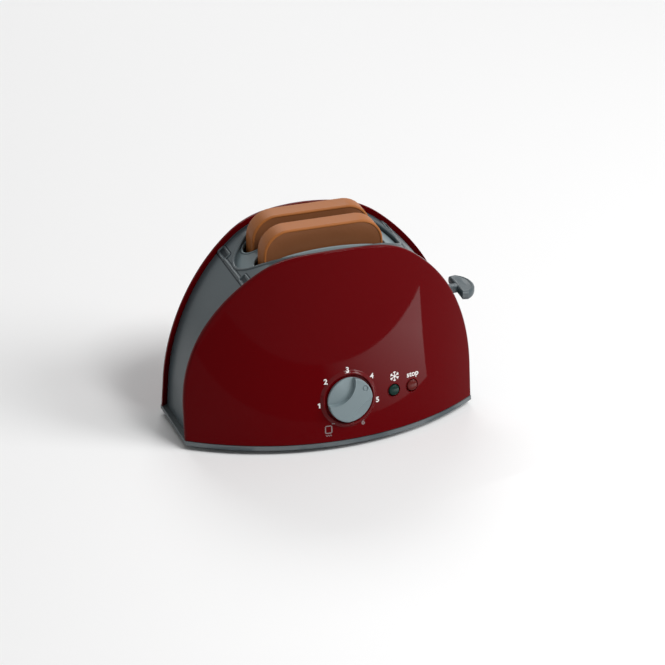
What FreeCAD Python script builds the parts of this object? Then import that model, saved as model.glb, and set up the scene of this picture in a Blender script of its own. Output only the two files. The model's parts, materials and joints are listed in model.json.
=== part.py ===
import FreeCAD, Part
import Sketcher
import math
import os
import re

from FreeCAD import Placement, Rotation, Vector

# A toy toaster: two leaning, barrel-curved shells with arched edges hold a grey band, an oval
# deck with two slots, and a base on four feet. Inside are a sprung toast carriage on two rods,
# a catch, and a wind-up timer behind the dial. All lengths are in millimetres, angles in degrees.
# Sub-parts are drawn about the toaster's middle, with z up from the floor, then shifted as one
# so that the origin lies under the middle of everything.

SIZES = (
    ("half_width", 94, "half width of the shells"),
    ("top_height", 127, "top of the shells over the floor"),
    ("side_height", 27, "where the straight side turns into an arc"),
    ("side_overshoot", 10, "how far the side's arc would pass the crown if it ran on"),
    ("shoulder_radius", 52, "arc of the shoulder"),
    ("crown_radius", 188, "arc of the crown"),
    ("half_depth", 55.6, "middle of a shell from the centre plane, at the floor"),
    ("face_radius", 165, "barrel radius of a shell's face"),
    ("lean", 8.5, "lean of a shell's face from the vertical"),
    ("panel_wall", 2.5, "wall of a shell"),
    ("lip", 3.5, "how far a shell's edge stands out past the band"),
    ("band_wall", 2.5, "wall of the grey band"),
    ("seam_gap", 0.15, "gap between pieces that are fixed together"),
    ("moving_gap", 0.4, "gap beside a moving piece"),
    ("foot_height", 3.5, "height of a foot"),
    ("foot_radius", 7, "radius of a foot"),
    ("foot_x", 60, "foot from the middle, sideways"),
    ("foot_y", 29, "foot from the middle, front to back"),
    ("strip_height", 2.5, "thickness of the base"),
    ("screw_radius", 1.4, "shank of a base screw"),
    ("screw_length", 14, "length of a base screw"),
    ("screw_head_radius", 3, "head of a base screw"),
    ("screw_head_height", 1.6, "height of a screw's head"),
    ("boss_radius", 4.5, "radius of a screw boss"),
    ("boss_height", 16, "height of a screw boss over the base"),
    ("end_boss_x", 80, "end screws from the middle"),
    ("end_boss_y", 12, "end screws from the centre plane"),
    ("shell_boss_x", 50, "shell screws from the middle"),
    ("shell_boss_inset", 15.5, "shell screws inside the deepest part of the face"),
    ("well_x", -3, "middle of the slots from the toaster's middle"),
    ("slot_pitch", 22, "distance between the slots"),
    ("slot_length", 84, "length of a slot"),
    ("slot_width", 15, "width of a slot"),
    ("deck_wall", 2, "wall of the deck"),
    ("deck_x", -1, "middle of the oval opening from the toaster's middle"),
    ("deck_half_length", 52.5, "half length of the oval opening"),
    ("deck_rim", 5.1, "band left beside the oval opening, at the crown"),
    ("deck_flange", 3, "rim of the deck under the band"),
    ("guide_wall", 1.6, "wall of a toast guide"),
    ("guide_top", 104, "top of the toast guides"),
    ("guide_end", 2, "how far a guide runs past the slot"),
    ("toast_width", 77, "width of a toast"),
    ("toast_height", 74, "height of a toast"),
    ("toast_thickness", 12, "thickness of a toast"),
    ("toast_bottom", 61.3, "underside of a toast with the lever up"),
    ("toast_corner", 16, "upper corner of a toast"),
    ("toast_foot_corner", 6, "lower corner of a toast"),
    ("crust_width", 2.4, "crust around a toast"),
    ("crumb_recess", 0.6, "how deep the crumb lies in the crust"),
    ("carriage_x", 57, "guide rods from the middle"),
    ("rod_y", 12, "guide rods from the centre plane"),
    ("rod_radius", 2, "radius of a guide rod"),
    ("running_gap", 0.06, "radial play of a shaft in its hole"),
    ("carriage_length", 12, "carriage block, sideways"),
    ("carriage_width", 32, "carriage block, front to back"),
    ("carriage_height", 17, "height of the carriage block"),
    ("arm_height", 4, "height of a cradle arm"),
    ("arm_width", 6, "width of a cradle arm"),
    ("bridge_height", 3.5, "thickness of the rods' top bridge"),
    ("rod_boss_radius", 5, "socket of a guide rod"),
    ("rod_boss_height", 4, "height of a guide rod's socket"),
    ("spring_radius", 3.4, "coil radius of a lift spring"),
    ("spring_wire", 0.45, "wire radius of a lift spring"),
    ("spring_turns", 9, "turns of a lift spring"),
    ("lever_drop", 4, "middle of the paddle under the carriage's top"),
    ("lever_travel", 38, "how far the lever goes down"),
    ("lever_reach", 9, "how far the paddle's tip stands out past the shells"),
    ("paddle_width", 26, "width of the paddle"),
    ("paddle_height", 6, "height of the paddle"),
    ("paddle_tip_radius", 14.5, "arc of the paddle's tip"),
    ("neck_width", 4.8, "width of the lever's neck"),
    ("neck_height", 5, "height of the lever's neck"),
    ("neck_hold", 6, "how deep the neck sits in the carriage"),
    ("lever_slot_gap", 0.6, "gap between the neck and its slot"),
    ("tab_length", 3.5, "catch tab on the carriage"),
    ("tab_height", 4, "height of the catch tab"),
    ("tab_rise", 2, "catch tab over the carriage's underside"),
    ("catch_gap", 0.7, "gap between the tab and the closed catch"),
    ("catch_pivot_rise", 6, "catch pin over the base"),
    ("catch_pin_radius", 1.3, "radius of the catch pin"),
    ("catch_eye_radius", 2.8, "eye of the catch round its pin"),
    ("catch_width", 5, "width of the catch"),
    ("catch_thickness", 3.4, "thickness of the catch"),
    ("catch_open", 10, "how far the catch leans back when open"),
    ("hook_length", 2.5, "reach of the catch's hook"),
    ("hook_height", 3.5, "height of the catch's hook"),
    ("ear_thickness", 2.5, "ear that carries the catch pin"),
    ("ear_margin", 1.7, "ear past the pin"),
    ("dial_x", 2.5, "dial from the middle"),
    ("dial_v", 33, "dial up along the face"),
    ("knob_radius", 14.75, "radius of the knob"),
    ("knob_height", 4.2, "face of the knob over the shell"),
    ("knob_floor", 2, "floor of the deep scoop over the shell"),
    ("flat_floor", 3, "floor of the flat scoop over the shell"),
    ("deep_scoop_radius", 17, "arc of the deep scoop"),
    ("deep_scoop_edge", 2.6, "deep scoop from the knob's middle"),
    ("deep_scoop_turn", 102, "deep scoop from the pointer"),
    ("flat_scoop_radius", 40, "arc of the flat scoop"),
    ("flat_scoop_edge", 8.4, "flat scoop from the knob's middle"),
    ("flat_scoop_turn", -90, "flat scoop from the pointer"),
    ("pointer_angle", 30, "where the knob points, from straight right"),
    ("dial_ring_width", 2.4, "raised ring around the knob"),
    ("dial_ring_height", 1.8, "height of the raised ring"),
    ("arbor_radius", 2, "radius of the knob's arbor"),
    ("button_x", 33.2, "green button from the middle"),
    ("button_pitch", 13.1, "distance between the buttons"),
    ("button_v", 32.5, "buttons up along the face"),
    ("button_radius", 3.75, "radius of a button"),
    ("button_rise", 0.9, "how far a button stands out"),
    ("button_travel", 2, "how far a button goes in"),
    ("button_flange", 1, "rim behind the shell that holds a button"),
    ("stem_radius", 1.5, "radius of a button's stem"),
    ("bracket_depth", 17, "button bracket behind the face"),
    ("bracket_wall", 1.6, "thickness of the button bracket"),
    ("bracket_margin", 7, "bracket past the buttons' middles"),
    ("bracket_leg", 2.2, "width of a bracket leg"),
    ("plate_wall", 1.5, "thickness of a timer plate"),
    ("plate_front", 7.5, "front timer plate behind the face"),
    ("plate_space", 10, "space between the timer plates"),
    ("plate_left", 38.5, "timer plate left of the dial"),
    ("plate_right", 21.5, "timer plate right of the dial"),
    ("plate_below", 20.5, "timer plate below the dial"),
    ("plate_above", 22, "timer plate above the dial"),
    ("pillar_radius", 2.4, "pillar between the timer plates"),
    ("pillar_inset", 3, "pillar from the plate's edges"),
    ("gear_module", 1, "tooth module of the timer wheels"),
    ("main_teeth", 36, "teeth of the main wheel"),
    ("pinion_teeth", 12, "teeth of the escape pinion"),
    ("wheel_wall", 1.5, "thickness of a timer wheel"),
    ("wheel_back", 3, "main wheel behind the front plate"),
    ("escape_radius", 7.5, "radius of the escape wheel"),
    ("escape_teeth", 15, "teeth of the escape wheel"),
    ("escape_back", 7, "escape wheel behind the front plate"),
    ("pivot_radius", 1.2, "pivots of the escape wheel and the anchor"),
    ("anchor_rise", 13, "anchor pivot above the escape wheel"),
    ("anchor_gap", 0.8, "gap between the anchor and the escape wheel"),
    ("anchor_bar", 4, "height of the anchor's bar"),
    ("pallet_width", 1.6, "width of a pallet"),
    ("pinion_margin", 0.3, "pinion past the main wheel on each side"),
    ("mainspring_radius", 9, "radius of the coiled mainspring"),
    ("mainspring_width", 2.5, "width of the mainspring strip"),
    ("mainspring_gap", 1, "gap between the mainspring and the back plate"),
    ("margin", 20, "how far the cutting blocks reach past the shells"),
)
NAMES = {name for name, value, note in SIZES}

# Sizes that follow from the ones above
BASE_TOP = "(foot_height + strip_height)"
SIDE_RADIUS = "(top_height - side_height + side_overshoot)"
CROWN_Y = "(half_depth - top_height * tan(lean))"
DECK_HALF_DEPTH = f"({CROWN_Y} - panel_wall - deck_rim)"
BAND_OUT = "(lip)"
BAND_IN = "(lip + band_wall)"
SLOT_Y = "(slot_pitch / 2)"
CARRIAGE_BOTTOM = "(toast_bottom - 0.3 - arm_height)"
CARRIAGE_TOP = f"({CARRIAGE_BOTTOM} + carriage_height)"
CARRIAGE_LEFT = "(carriage_x - carriage_length / 2)"
CARRIAGE_RIGHT = "(carriage_x + carriage_length / 2)"
ROD_TOP = f"({CARRIAGE_TOP} + moving_gap + bridge_height)"
TAB_TOP = f"({CARRIAGE_BOTTOM} + tab_rise + tab_height)"
LEVER_HEIGHT = f"({CARRIAGE_TOP} - lever_drop)"
CATCH_Y = "(carriage_width / 2 + tab_length + catch_gap + catch_thickness / 2)"
CATCH_Z = f"({BASE_TOP} + catch_pivot_rise)"
PADDLE_LEFT = "(half_width - lip + 2 * moving_gap)"
PADDLE_TIP = "(half_width + lever_reach)"
ESCAPE_X = "(dial_x - gear_module * (main_teeth + pinion_teeth) / 2)"
PLATE_BACK = "(plate_front + plate_wall + plate_space)"
KNOB_BASE = "(moving_gap)"
RING_INNER = "(knob_radius + moving_gap)"
SHELL_BOSS_Y = "(half_depth - shell_boss_inset)"

doc = FreeCAD.newDocument("toy_toaster")
sheet = doc.addObject("Spreadsheet::Sheet", "dims")
for row, (name, value, note) in enumerate(SIZES, 1):
    sheet.set(f"A{row}", name)
    sheet.set(f"B{row}", str(value))
    sheet.set(f"C{row}", note)
    sheet.setAlias(f"B{row}", name)
doc.recompute()


def size(name):
    return float(sheet.get(name))


def expand(text):
    """Write the sheet's name before each of its sizes."""
    return re.sub(r"[a-z_]+", lambda m: "dims." + m[0] if m[0] in NAMES else m[0], str(text))


def bind(obj, **sizes):
    for prop, text in sizes.items():
        obj.setExpression(prop, expand(text))
    return obj


def put(obj, x=0, y=0, z=0):
    """Place an object by three expressions."""
    for axis, text in (("x", x), ("y", y), ("z", z)):
        obj.setExpression(f"Placement.Base.{axis}", expand(text))
    return obj


def turn(obj, axis, text):
    """Turn an object about an axis by an expression in degrees."""
    obj.Placement = Placement(Vector(), Rotation(Vector(*axis), 1))
    obj.setExpression("Placement.Rotation.Angle", expand(text))
    return obj


def on_face(obj, u, v, w):
    """Stand an object on the front face: u sideways, v up along the face, w out of it."""
    turn(obj, (1, 0, 0), "90 - lean")
    y = f"-half_depth + ({v}) * sin(lean) - ({w}) * cos(lean)"
    z = f"({v}) * cos(lean) + ({w}) * sin(lean)"
    return put(obj, u, y, z)


def face_level(x, inset):
    """Height of the front face, or of a surface inset from it, over its middle line."""
    return f"(sqrt((face_radius - {inset})^2 - ({x})^2) - face_radius)"


def box(name, x, y, z):
    """A block between pairs of low and high values."""
    made = doc.addObject("Part::Box", name)
    spans = [f"({high}) - ({low})" for low, high in (x, y, z)]
    bind(made, Length=spans[0], Width=spans[1], Height=spans[2])
    return put(made, x[0], y[0], z[0])


def face_box(name, u, v, w):
    made = doc.addObject("Part::Box", name)
    spans = [f"({high}) - ({low})" for low, high in (u, v, w)]
    bind(made, Length=spans[0], Width=spans[1], Height=spans[2])
    return on_face(made, u[0], v[0], w[0])


def post(name, radius, x, y, z):
    """An upright cylinder between two heights."""
    made = doc.addObject("Part::Cylinder", name)
    bind(made, Radius=radius, Height=f"({z[1]}) - ({z[0]})")
    return put(made, x, y, z[0])


def face_post(name, radius, u, v, w):
    """A cylinder square to the front face between two depths."""
    made = doc.addObject("Part::Cylinder", name)
    bind(made, Radius=radius, Height=f"({w[1]}) - ({w[0]})")
    return on_face(made, u, v, w[0])


def side_rod(name, radius, x, y, z):
    """A cylinder along X between two values of x."""
    made = doc.addObject("Part::Cylinder", name)
    bind(made, Radius=radius, Height=f"({x[1]}) - ({x[0]})")
    made.Placement = Placement(Vector(), Rotation(Vector(0, 1, 0), 90))
    return put(made, x[0], y, z)


def fuse(name, *parts):
    made = doc.addObject("Part::MultiFuse", name)
    made.Shapes = list(parts)
    return made


def common(name, base, tool):
    made = doc.addObject("Part::Common", name)
    made.Base = base
    made.Tool = tool
    return made


def cut(name, base, *tools):
    made = doc.addObject("Part::Cut", name)
    made.Base = base
    made.Tool = tools[0] if len(tools) == 1 else fuse(name + "_tools", *tools)
    return made


SUBPARTS = []


def subpart(obj, label):
    """Give a finished piece its name and shift it with all the others."""
    holder = doc.addObject("Part::Compound", label)
    holder.Links = [obj]
    holder.Label = label
    # the paddle stands out to the right, and the knob a little further forward than the base
    knob_reach = "knob_height * cos(lean) - (dial_v - knob_radius) * sin(lean)"
    put(holder, "-lever_reach / 2", f"({knob_reach} + foot_height * tan(lean)) / 2", 0)
    SUBPARTS.append(holder)
    return holder


# ---- Outlines ----


def arch_points():
    """Centres and joints of the arch's arcs, where each arc runs on smoothly into the next."""
    side_radius = size("top_height") - size("side_height") + size("side_overshoot")
    side = Vector(size("half_width") - side_radius, size("side_height"), 0)
    crown = Vector(0, size("top_height") - size("crown_radius"), 0)
    from_side = side_radius - size("shoulder_radius")
    from_crown = size("crown_radius") - size("shoulder_radius")
    across = crown - side
    along = (from_side**2 - from_crown**2 + across.Length**2) / (2 * across.Length)
    off = math.sqrt(from_side**2 - along**2)
    unit = Vector(across).normalize()
    shoulder = side + unit * along + Vector(-unit.y, unit.x, 0) * off
    low = shoulder + (shoulder - side).normalize() * size("shoulder_radius")
    high = shoulder + (shoulder - crown).normalize() * size("shoulder_radius")
    return side, shoulder, crown, low, high


def arch_sketch():
    """The shells' arched outline, seen from the front, run on below the floor."""
    sketch = doc.addObject("Sketcher::SketchObject", "arch")
    sketch.Placement = Placement(Vector(), Rotation(Vector(1, 0, 0), 90))
    side, shoulder, crown, low, high = arch_points()
    half = size("half_width")
    corner = Vector(half, -size("margin"), 0)
    spring = Vector(half, size("side_height"), 0)

    def mirrored(p):
        return Vector(-p.x, p.y, 0)

    def arc(centre, start, end):
        radius = (start - centre).Length
        first = math.atan2(start.y - centre.y, start.x - centre.x)
        last = math.atan2(end.y - centre.y, end.x - centre.x)
        circle = Part.Circle(centre, Vector(0, 0, 1), radius)
        return sketch.addGeometry(Part.ArcOfCircle(circle, first, last), False)

    floor = sketch.addGeometry(Part.LineSegment(mirrored(corner), corner), False)
    right = sketch.addGeometry(Part.LineSegment(corner, spring), False)
    right_side = arc(side, spring, low)
    right_shoulder = arc(shoulder, low, high)
    top = arc(crown, high, mirrored(high))
    left_shoulder = arc(mirrored(shoulder), mirrored(high), mirrored(low))
    left_side = arc(mirrored(side), mirrored(low), mirrored(spring))
    left = sketch.addGeometry(Part.LineSegment(mirrored(spring), mirrored(corner)), False)

    def rule(*words):
        return sketch.addConstraint(Sketcher.Constraint(*words))

    chain = (right, right_side, right_shoulder, top, left_shoulder, left_side, left)
    for one, other in zip(chain, chain[1:]):
        rule("Tangent", one, 2, other, 1)
    rule("Coincident", floor, 2, right, 1)
    rule("Coincident", left, 2, floor, 1)
    rule("Vertical", right)
    rule("Vertical", left)
    rule("Symmetric", floor, 1, floor, 2, -2)
    rule("Horizontal", right, 2, left, 1)
    rule("PointOnObject", top, 3, -2)
    rule("Equal", right_shoulder, left_shoulder)
    rule("Equal", right_side, left_side)
    driven = (
        (rule("DistanceX", floor, 1, floor, 2, 2 * half), "2 * half_width"),
        (rule("DistanceY", -1, 1, right, 2, spring.y), "side_height"),
        (rule("DistanceY", right, 1, -1, 1, -corner.y), "margin"),
        (rule("Radius", right_side, half - side.x), SIDE_RADIUS),
        (rule("Radius", right_shoulder, size("shoulder_radius")), "shoulder_radius"),
        (rule("Radius", top, size("crown_radius")), "crown_radius"),
        (rule("DistanceY", top, 3, -1, 1, -crown.y), "crown_radius - top_height"),
    )
    for index, text in driven:
        sketch.setExpression(f"Constraints[{index}]", expand(text))
    return sketch


def rounded_sketch(name, width, height, low_radius, high_radius):
    """An upright rectangle with rounded corners, its foot in the middle of its lower edge."""
    sketch = doc.addObject("Sketcher::SketchObject", name)
    sketch.Placement = Placement(Vector(), Rotation(Vector(1, 0, 0), 90))
    half, top = size(width) / 2, size(height)
    low, high = size(low_radius), size(high_radius)
    lines = (
        ((-half + low, 0), (half - low, 0)),
        ((half, low), (half, top - high)),
        ((half - high, top), (-half + high, top)),
        ((-half, top - high), (-half, low)),
    )
    corners = (
        ((half - low, low), low, -90),
        ((half - high, top - high), high, 0),
        ((-half + high, top - high), high, 90),
        ((-half + low, low), low, 180),
    )
    edges = []
    for (start, end), (centre, radius, angle) in zip(lines, corners):
        edges.append(sketch.addGeometry(Part.LineSegment(Vector(*start), Vector(*end)), False))
        circle = Part.Circle(Vector(*centre), Vector(0, 0, 1), radius)
        first = math.radians(angle)
        edges.append(sketch.addGeometry(Part.ArcOfCircle(circle, first, first + math.pi / 2), False))

    def rule(*words):
        return sketch.addConstraint(Sketcher.Constraint(*words))

    for one, other in zip(edges, edges[1:] + edges[:1]):
        rule("Tangent", one, 2, other, 1)
    rule("Vertical", edges[2])
    rule("PointOnObject", edges[0], 1, -1)
    rule("Symmetric", edges[0], 1, edges[0], 2, -2)
    rule("Equal", edges[1], edges[7])
    rule("Equal", edges[3], edges[5])
    driven = (
        (rule("Radius", edges[1], low), low_radius),
        (rule("Radius", edges[3], high), high_radius),
        (rule("DistanceX", edges[6], 1, edges[2], 1, 2 * half), width),
        (rule("DistanceY", edges[0], 1, edges[4], 1, top), height),
    )
    for index, text in driven:
        sketch.setExpression(f"Constraints[{index}]", expand(text))
    return sketch


def prism(name, sketch, inset, depth):
    """A sketch drawn in from its edge and pushed out to both sides, front and back."""
    outline = sketch
    if inset:
        outline = doc.addObject("Part::Offset2D", name + "_outline")
        outline.Source = sketch
        outline.Join = 0
        bind(outline, Value=f"-({inset})")
    made = doc.addObject("Part::Extrusion", name)
    made.Base = outline
    made.DirMode = "Custom"
    made.Dir = Vector(0, 1, 0)
    made.Solid = True
    bind(made, LengthFwd=f"({depth}) / 2", LengthRev=f"({depth}) / 2")
    return made


ARCH = arch_sketch()
WHOLE_DEPTH = "(2 * half_depth + margin)"


def barrel(name, side, inset):
    """The barrel that a shell's face lies on: side is -1 at the front and 1 at the back."""
    made = doc.addObject("Part::Cylinder", name)
    bind(made, Radius=f"face_radius - {inset}", Height="top_height + 60")
    turn(made, (side, 0, 0), "lean")
    y = "(-half_depth + face_radius / cos(lean) - 30 * sin(lean))"
    return put(made, 0, f"{-side} * {y}", "-30 * cos(lean)")


def lens(name, inset):
    """The space between both faces, or between surfaces inset from them."""
    front = barrel(name + "_front", -1, inset)
    back = barrel(name + "_back", 1, inset)
    return common(name, front, back)


def arch_ring(name, outer, inner):
    """A band that follows the arch between two insets, open below."""
    outside = prism(name + "_outside", ARCH, outer, WHOLE_DEPTH)
    inside = prism(name + "_inside", ARCH, inner, WHOLE_DEPTH + " + margin")
    return cut(name, outside, inside)


def above_base(name, low=BASE_TOP):
    wide = "half_width + margin"
    deep = "half_depth + margin"
    return box(name, (f"-({wide})", wide), (f"-({deep})", deep), (low, "top_height + margin"))


# ---- Shells ----


def shell_panel(name, side):
    """A curved plate between two barrels, trimmed to the arch."""
    face = cut(name + "_face", barrel(name + "_outer", side, 0), barrel(name + "_inner", side, "panel_wall"))
    reach = ("-half_depth - margin", "0") if side < 0 else ("0", "half_depth + margin")
    wide = "half_width + margin"
    room = box(name + "_room", (f"-({wide})", wide), reach, (BASE_TOP, "top_height + margin"))
    half = common(name + "_half", prism(name + "_arch", ARCH, 0, WHOLE_DEPTH), room)
    plate = common(name + "_plate", half, face)
    bosses = []
    for number, x in enumerate(("-shell_boss_x", "shell_boss_x")):
        height = (BASE_TOP + " + seam_gap", BASE_TOP + " + boss_height")
        bosses.append(post(f"{name}_boss_{number}", "boss_radius", x, f"{side} * {SHELL_BOSS_Y}", height))
    trim = barrel(name + "_trim", side, "panel_wall / 2")
    kept = common(name + "_bosses", fuse(name + "_boss_pair", *bosses), trim)
    holes = []
    for number, x in enumerate(("-shell_boss_x", "shell_boss_x")):
        depth = (BASE_TOP + " - 1", "foot_height + screw_length + 1")
        radius = "screw_radius + seam_gap / 3"
        holes.append(post(f"{name}_pilot_{number}", radius, x, f"{side} * {SHELL_BOSS_Y}", depth))
    return plate, kept, holes


def plate_corners():
    """Pillar places of the timer, as sideways and upward values on the face."""
    left = "(dial_x - plate_left + pillar_inset)"
    right = "(dial_x + plate_right - pillar_inset)"
    low = "(dial_v - plate_below + pillar_inset)"
    high = "(dial_v + plate_above - pillar_inset)"
    return ((left, low), (right, low), (left, high), (right, high))


def button_places():
    return (("defrost", "button_x"), ("stop", "(button_x + button_pitch)"))


def front_shell():
    plate, bosses, holes = shell_panel("front", -1)
    rise = ("-panel_wall / 2", "dial_ring_height")
    ring = face_post("dial_ring", f"{RING_INNER} + dial_ring_width", "dial_x", "dial_v", rise)
    bore = face_post("dial_bore", RING_INNER, "dial_x", "dial_v", ("-panel_wall", "dial_ring_height + 1"))
    arbor_hole = face_post("arbor_hole", "arbor_radius + 1", "dial_x", "dial_v", ("-panel_wall - 3", "5"))
    mounts = []
    for number, (u, v) in enumerate(plate_corners()):
        level = f"{face_level(u, 0)} - panel_wall / 2"
        mounts.append(face_post(f"timer_boss_{number}", "pillar_radius", u, v, ("-plate_front", level)))
    buttons = []
    for name, u in button_places():
        radius = "button_radius + moving_gap"
        buttons.append(face_post(f"{name}_hole", radius, u, "button_v", ("-bracket_depth", "5")))
    raised = cut("dial_ring_only", ring, bore)
    whole = fuse("front_whole", plate, bosses, raised, *mounts)
    return subpart(cut("front_cut", whole, arbor_hole, *buttons, *holes), "front_shell")


def rear_shell():
    plate, bosses, holes = shell_panel("rear", 1)
    whole = fuse("rear_whole", plate, bosses)
    return subpart(cut("rear_cut", whole, *holes), "rear_shell")


# ---- Band, deck and base ----


def oval(name, grow, low):
    """An upright oval column over the opening's middle."""
    outline = doc.addObject("Part::Ellipse", name + "_outline")
    bind(outline, MajorRadius=f"deck_half_length + {grow}", MinorRadius=f"{DECK_HALF_DEPTH} + {grow}")
    put(outline, "deck_x", 0, low)
    made = doc.addObject("Part::Extrusion", name)
    made.Base = outline
    made.DirMode = "Custom"
    made.Dir = Vector(0, 0, 1)
    made.Solid = True
    bind(made, LengthFwd="top_height")
    return made


def lever_slot():
    half = "(neck_width / 2 + lever_slot_gap)"
    low = f"({LEVER_HEIGHT} - neck_height / 2 - lever_travel)"
    high = f"({LEVER_HEIGHT} + neck_height / 2)"
    reach = (f"{CARRIAGE_RIGHT} + 2", "half_width + margin")
    return (
        box("lever_slot", reach, (f"-{half}", half), (low, high)),
        side_rod("lever_slot_foot", half, reach, 0, low),
        side_rod("lever_slot_head", half, reach, 0, high),
    )


def end_bosses():
    """Blocks inside the ends of the band that take the end screws."""
    blocks = []
    for x in ("-1", "1"):
        for y in ("-1", "1"):
            inner, outer = "(end_boss_x - boss_radius)", "(half_width - lip - band_wall / 2)"
            low, high = (f"-{outer}", f"-{inner}") if x == "-1" else (inner, outer)
            near = f"({y} * end_boss_y - boss_radius)"
            far = f"({y} * end_boss_y + boss_radius)"
            height = (BASE_TOP + " + seam_gap", BASE_TOP + " + boss_height")
            blocks.append(box(f"end_boss_{len(blocks)}", (low, high), (near, far), height))
    return blocks


def screw_places():
    ends = [(f"{x} * end_boss_x", f"{y} * end_boss_y") for x in (-1, 1) for y in (-1, 1)]
    shells = [(f"{x} * shell_boss_x", f"{y} * {SHELL_BOSS_Y}") for x in (-1, 1) for y in (-1, 1)]
    return ends, shells


def housing_band():
    between = lens("band_lens", "(panel_wall + seam_gap)")
    ring = common("band_trim", arch_ring("band_ring", BAND_OUT, BAND_IN), between)
    wall = common("band_wall_only", ring, above_base("band_room", BASE_TOP + " + seam_gap"))
    pilots = []
    for number, (x, y) in enumerate(screw_places()[0]):
        depth = (BASE_TOP + " - 1", "foot_height + screw_length + 1")
        pilots.append(post(f"band_pilot_{number}", "screw_radius + seam_gap / 3", x, y, depth))
    whole = fuse("band_whole", wall, *end_bosses())
    opening = oval("deck_opening", "0", "guide_top / 2")
    return subpart(cut("band_cut", whole, opening, *lever_slot(), *pilots), "housing_band")


def slot_hole(name, y):
    """An upright hole with rounded ends, over one toast."""
    half = "(slot_width / 2)"
    left, right = f"(well_x - slot_length / 2 + {half})", f"(well_x + slot_length / 2 - {half})"
    height = ("guide_top - margin", "top_height + margin")
    return (
        box(name, (left, right), (f"{y} - {half}", f"{y} + {half}"), height),
        post(name + "_left", half, left, y, height),
        post(name + "_right", half, right, y, height),
    )


def slot_deck():
    top = f"({BAND_IN} + seam_gap)"
    plate = arch_ring("deck_ring", top, f"({top} + deck_wall)")
    between = lens("deck_lens", "(panel_wall + seam_gap)")
    rim = common("deck_rim", oval("deck_rim_oval", "deck_flange", "guide_top / 2"), between)
    holes = slot_hole("front_slot", f"-{SLOT_Y}") + slot_hole("rear_slot", SLOT_Y)
    return subpart(cut("deck_cut", common("deck_plate", rim, plate), *holes), "slot_deck")


def catch_ears():
    half = "(catch_width / 2 + moving_gap)"
    ears = []
    for name, low, high in (
        ("left_ear", f"carriage_x - {half} - ear_thickness", f"carriage_x - {half}"),
        ("right_ear", f"carriage_x + {half}", f"carriage_x + {half} + ear_thickness"),
    ):
        reach = "(catch_pin_radius + ear_margin)"
        depth = (f"{CATCH_Y} - {reach}", f"{CATCH_Y} + {reach}")
        ears.append(box(name, (low, high), depth, (BASE_TOP + " - 1", f"{CATCH_Z} + {reach}")))
    return ears


def base_plate():
    room = above_base("base_room", "foot_height")
    deep = ("-half_depth", "half_depth")
    slab = box("base_slab", ("-half_width", "half_width"), deep, ("foot_height", BASE_TOP))
    outline = common("base_outline", lens("base_lens", "0"), prism("base_arch", ARCH, 0, WHOLE_DEPTH))
    plate = common("base_plate_only", common("base_high", outline, room), slab)
    feet = []
    for x in (-1, 1):
        for y in (-1, 1):
            name = f"foot_{len(feet)}"
            height = ("0", "foot_height + 1")
            feet.append(post(name, "foot_radius", f"{x} * foot_x", f"{y} * foot_y", height))
    sockets, rod_holes = [], []
    for number, y in enumerate(("-rod_y", "rod_y")):
        height = (BASE_TOP + " - 1", BASE_TOP + " + rod_boss_height")
        sockets.append(post(f"rod_socket_{number}", "rod_boss_radius", "carriage_x", y, height))
        depth = (BASE_TOP, BASE_TOP + " + rod_boss_height + 1")
        rod_holes.append(post(f"rod_hole_{number}", "rod_radius + running_gap", "carriage_x", y, depth))
    ends, shells = screw_places()
    holes = []
    for number, (x, y) in enumerate(ends + shells):
        depth = ("foot_height - 1", BASE_TOP + " + 1")
        holes.append(post(f"screw_hole_{number}", "screw_radius + seam_gap", x, y, depth))
    pin_hole = catch_pin_solid("pin_hole", "catch_pin_radius + running_gap", 1)
    whole = fuse("base_whole", plate, *feet, *sockets, *catch_ears())
    return subpart(cut("base_cut", whole, pin_hole, *rod_holes, *holes), "base_plate")


def base_screws():
    ends, shells = screw_places()
    screws = []
    for number, (x, y) in enumerate(ends + shells):
        depth = ("foot_height - 0.5", "foot_height + screw_length")
        shank = post(f"screw_shank_{number}", "screw_radius", x, y, depth)
        depth = ("foot_height - screw_head_height", "foot_height")
        head = post(f"screw_head_{number}", "screw_head_radius", x, y, depth)
        screws.append(fuse(f"screw_{number}", shank, head))
    group = doc.addObject("Part::Compound", "screw_group")
    group.Links = screws
    return subpart(group, "base_screws")


# ---- Toasts and what carries them ----


def toast(name, y):
    corners = ("toast_foot_corner", "toast_corner")
    outline = rounded_sketch(name + "_outline", "toast_width", "toast_height", *corners)
    whole = prism(name + "_whole", outline, None, "toast_thickness")
    hollow = prism(name + "_hollow", outline, "crust_width", "toast_thickness + 2")
    crust = cut(name + "_crust_ring", whole, hollow)
    depth = "toast_thickness - 2 * crumb_recess"
    inner = prism(name + "_inner", outline, "crust_width + seam_gap / 3", depth)
    for piece, label in ((crust, "crust"), (inner, "crumb")):
        put(piece, "well_x", y, "toast_bottom")
        subpart(piece, f"{name}_{label}")


def guide_wall(label, y):
    """An upright wall beside a toast, between the base and the deck."""
    reach = ("well_x - slot_length / 2 - guide_end", "well_x + slot_length / 2 + guide_end")
    depth = (f"{y} - guide_wall / 2", f"{y} + guide_wall / 2")
    return subpart(box(label + "_box", reach, depth, (BASE_TOP, "guide_top")), label)


def guide_rods():
    rods = []
    for number, y in enumerate(("-rod_y", "rod_y")):
        rods.append(post(f"rod_{number}", "rod_radius", "carriage_x", y, (BASE_TOP, ROD_TOP)))
    group = doc.addObject("Part::Compound", "rod_group")
    group.Links = rods
    return subpart(group, "guide_rods")


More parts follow.
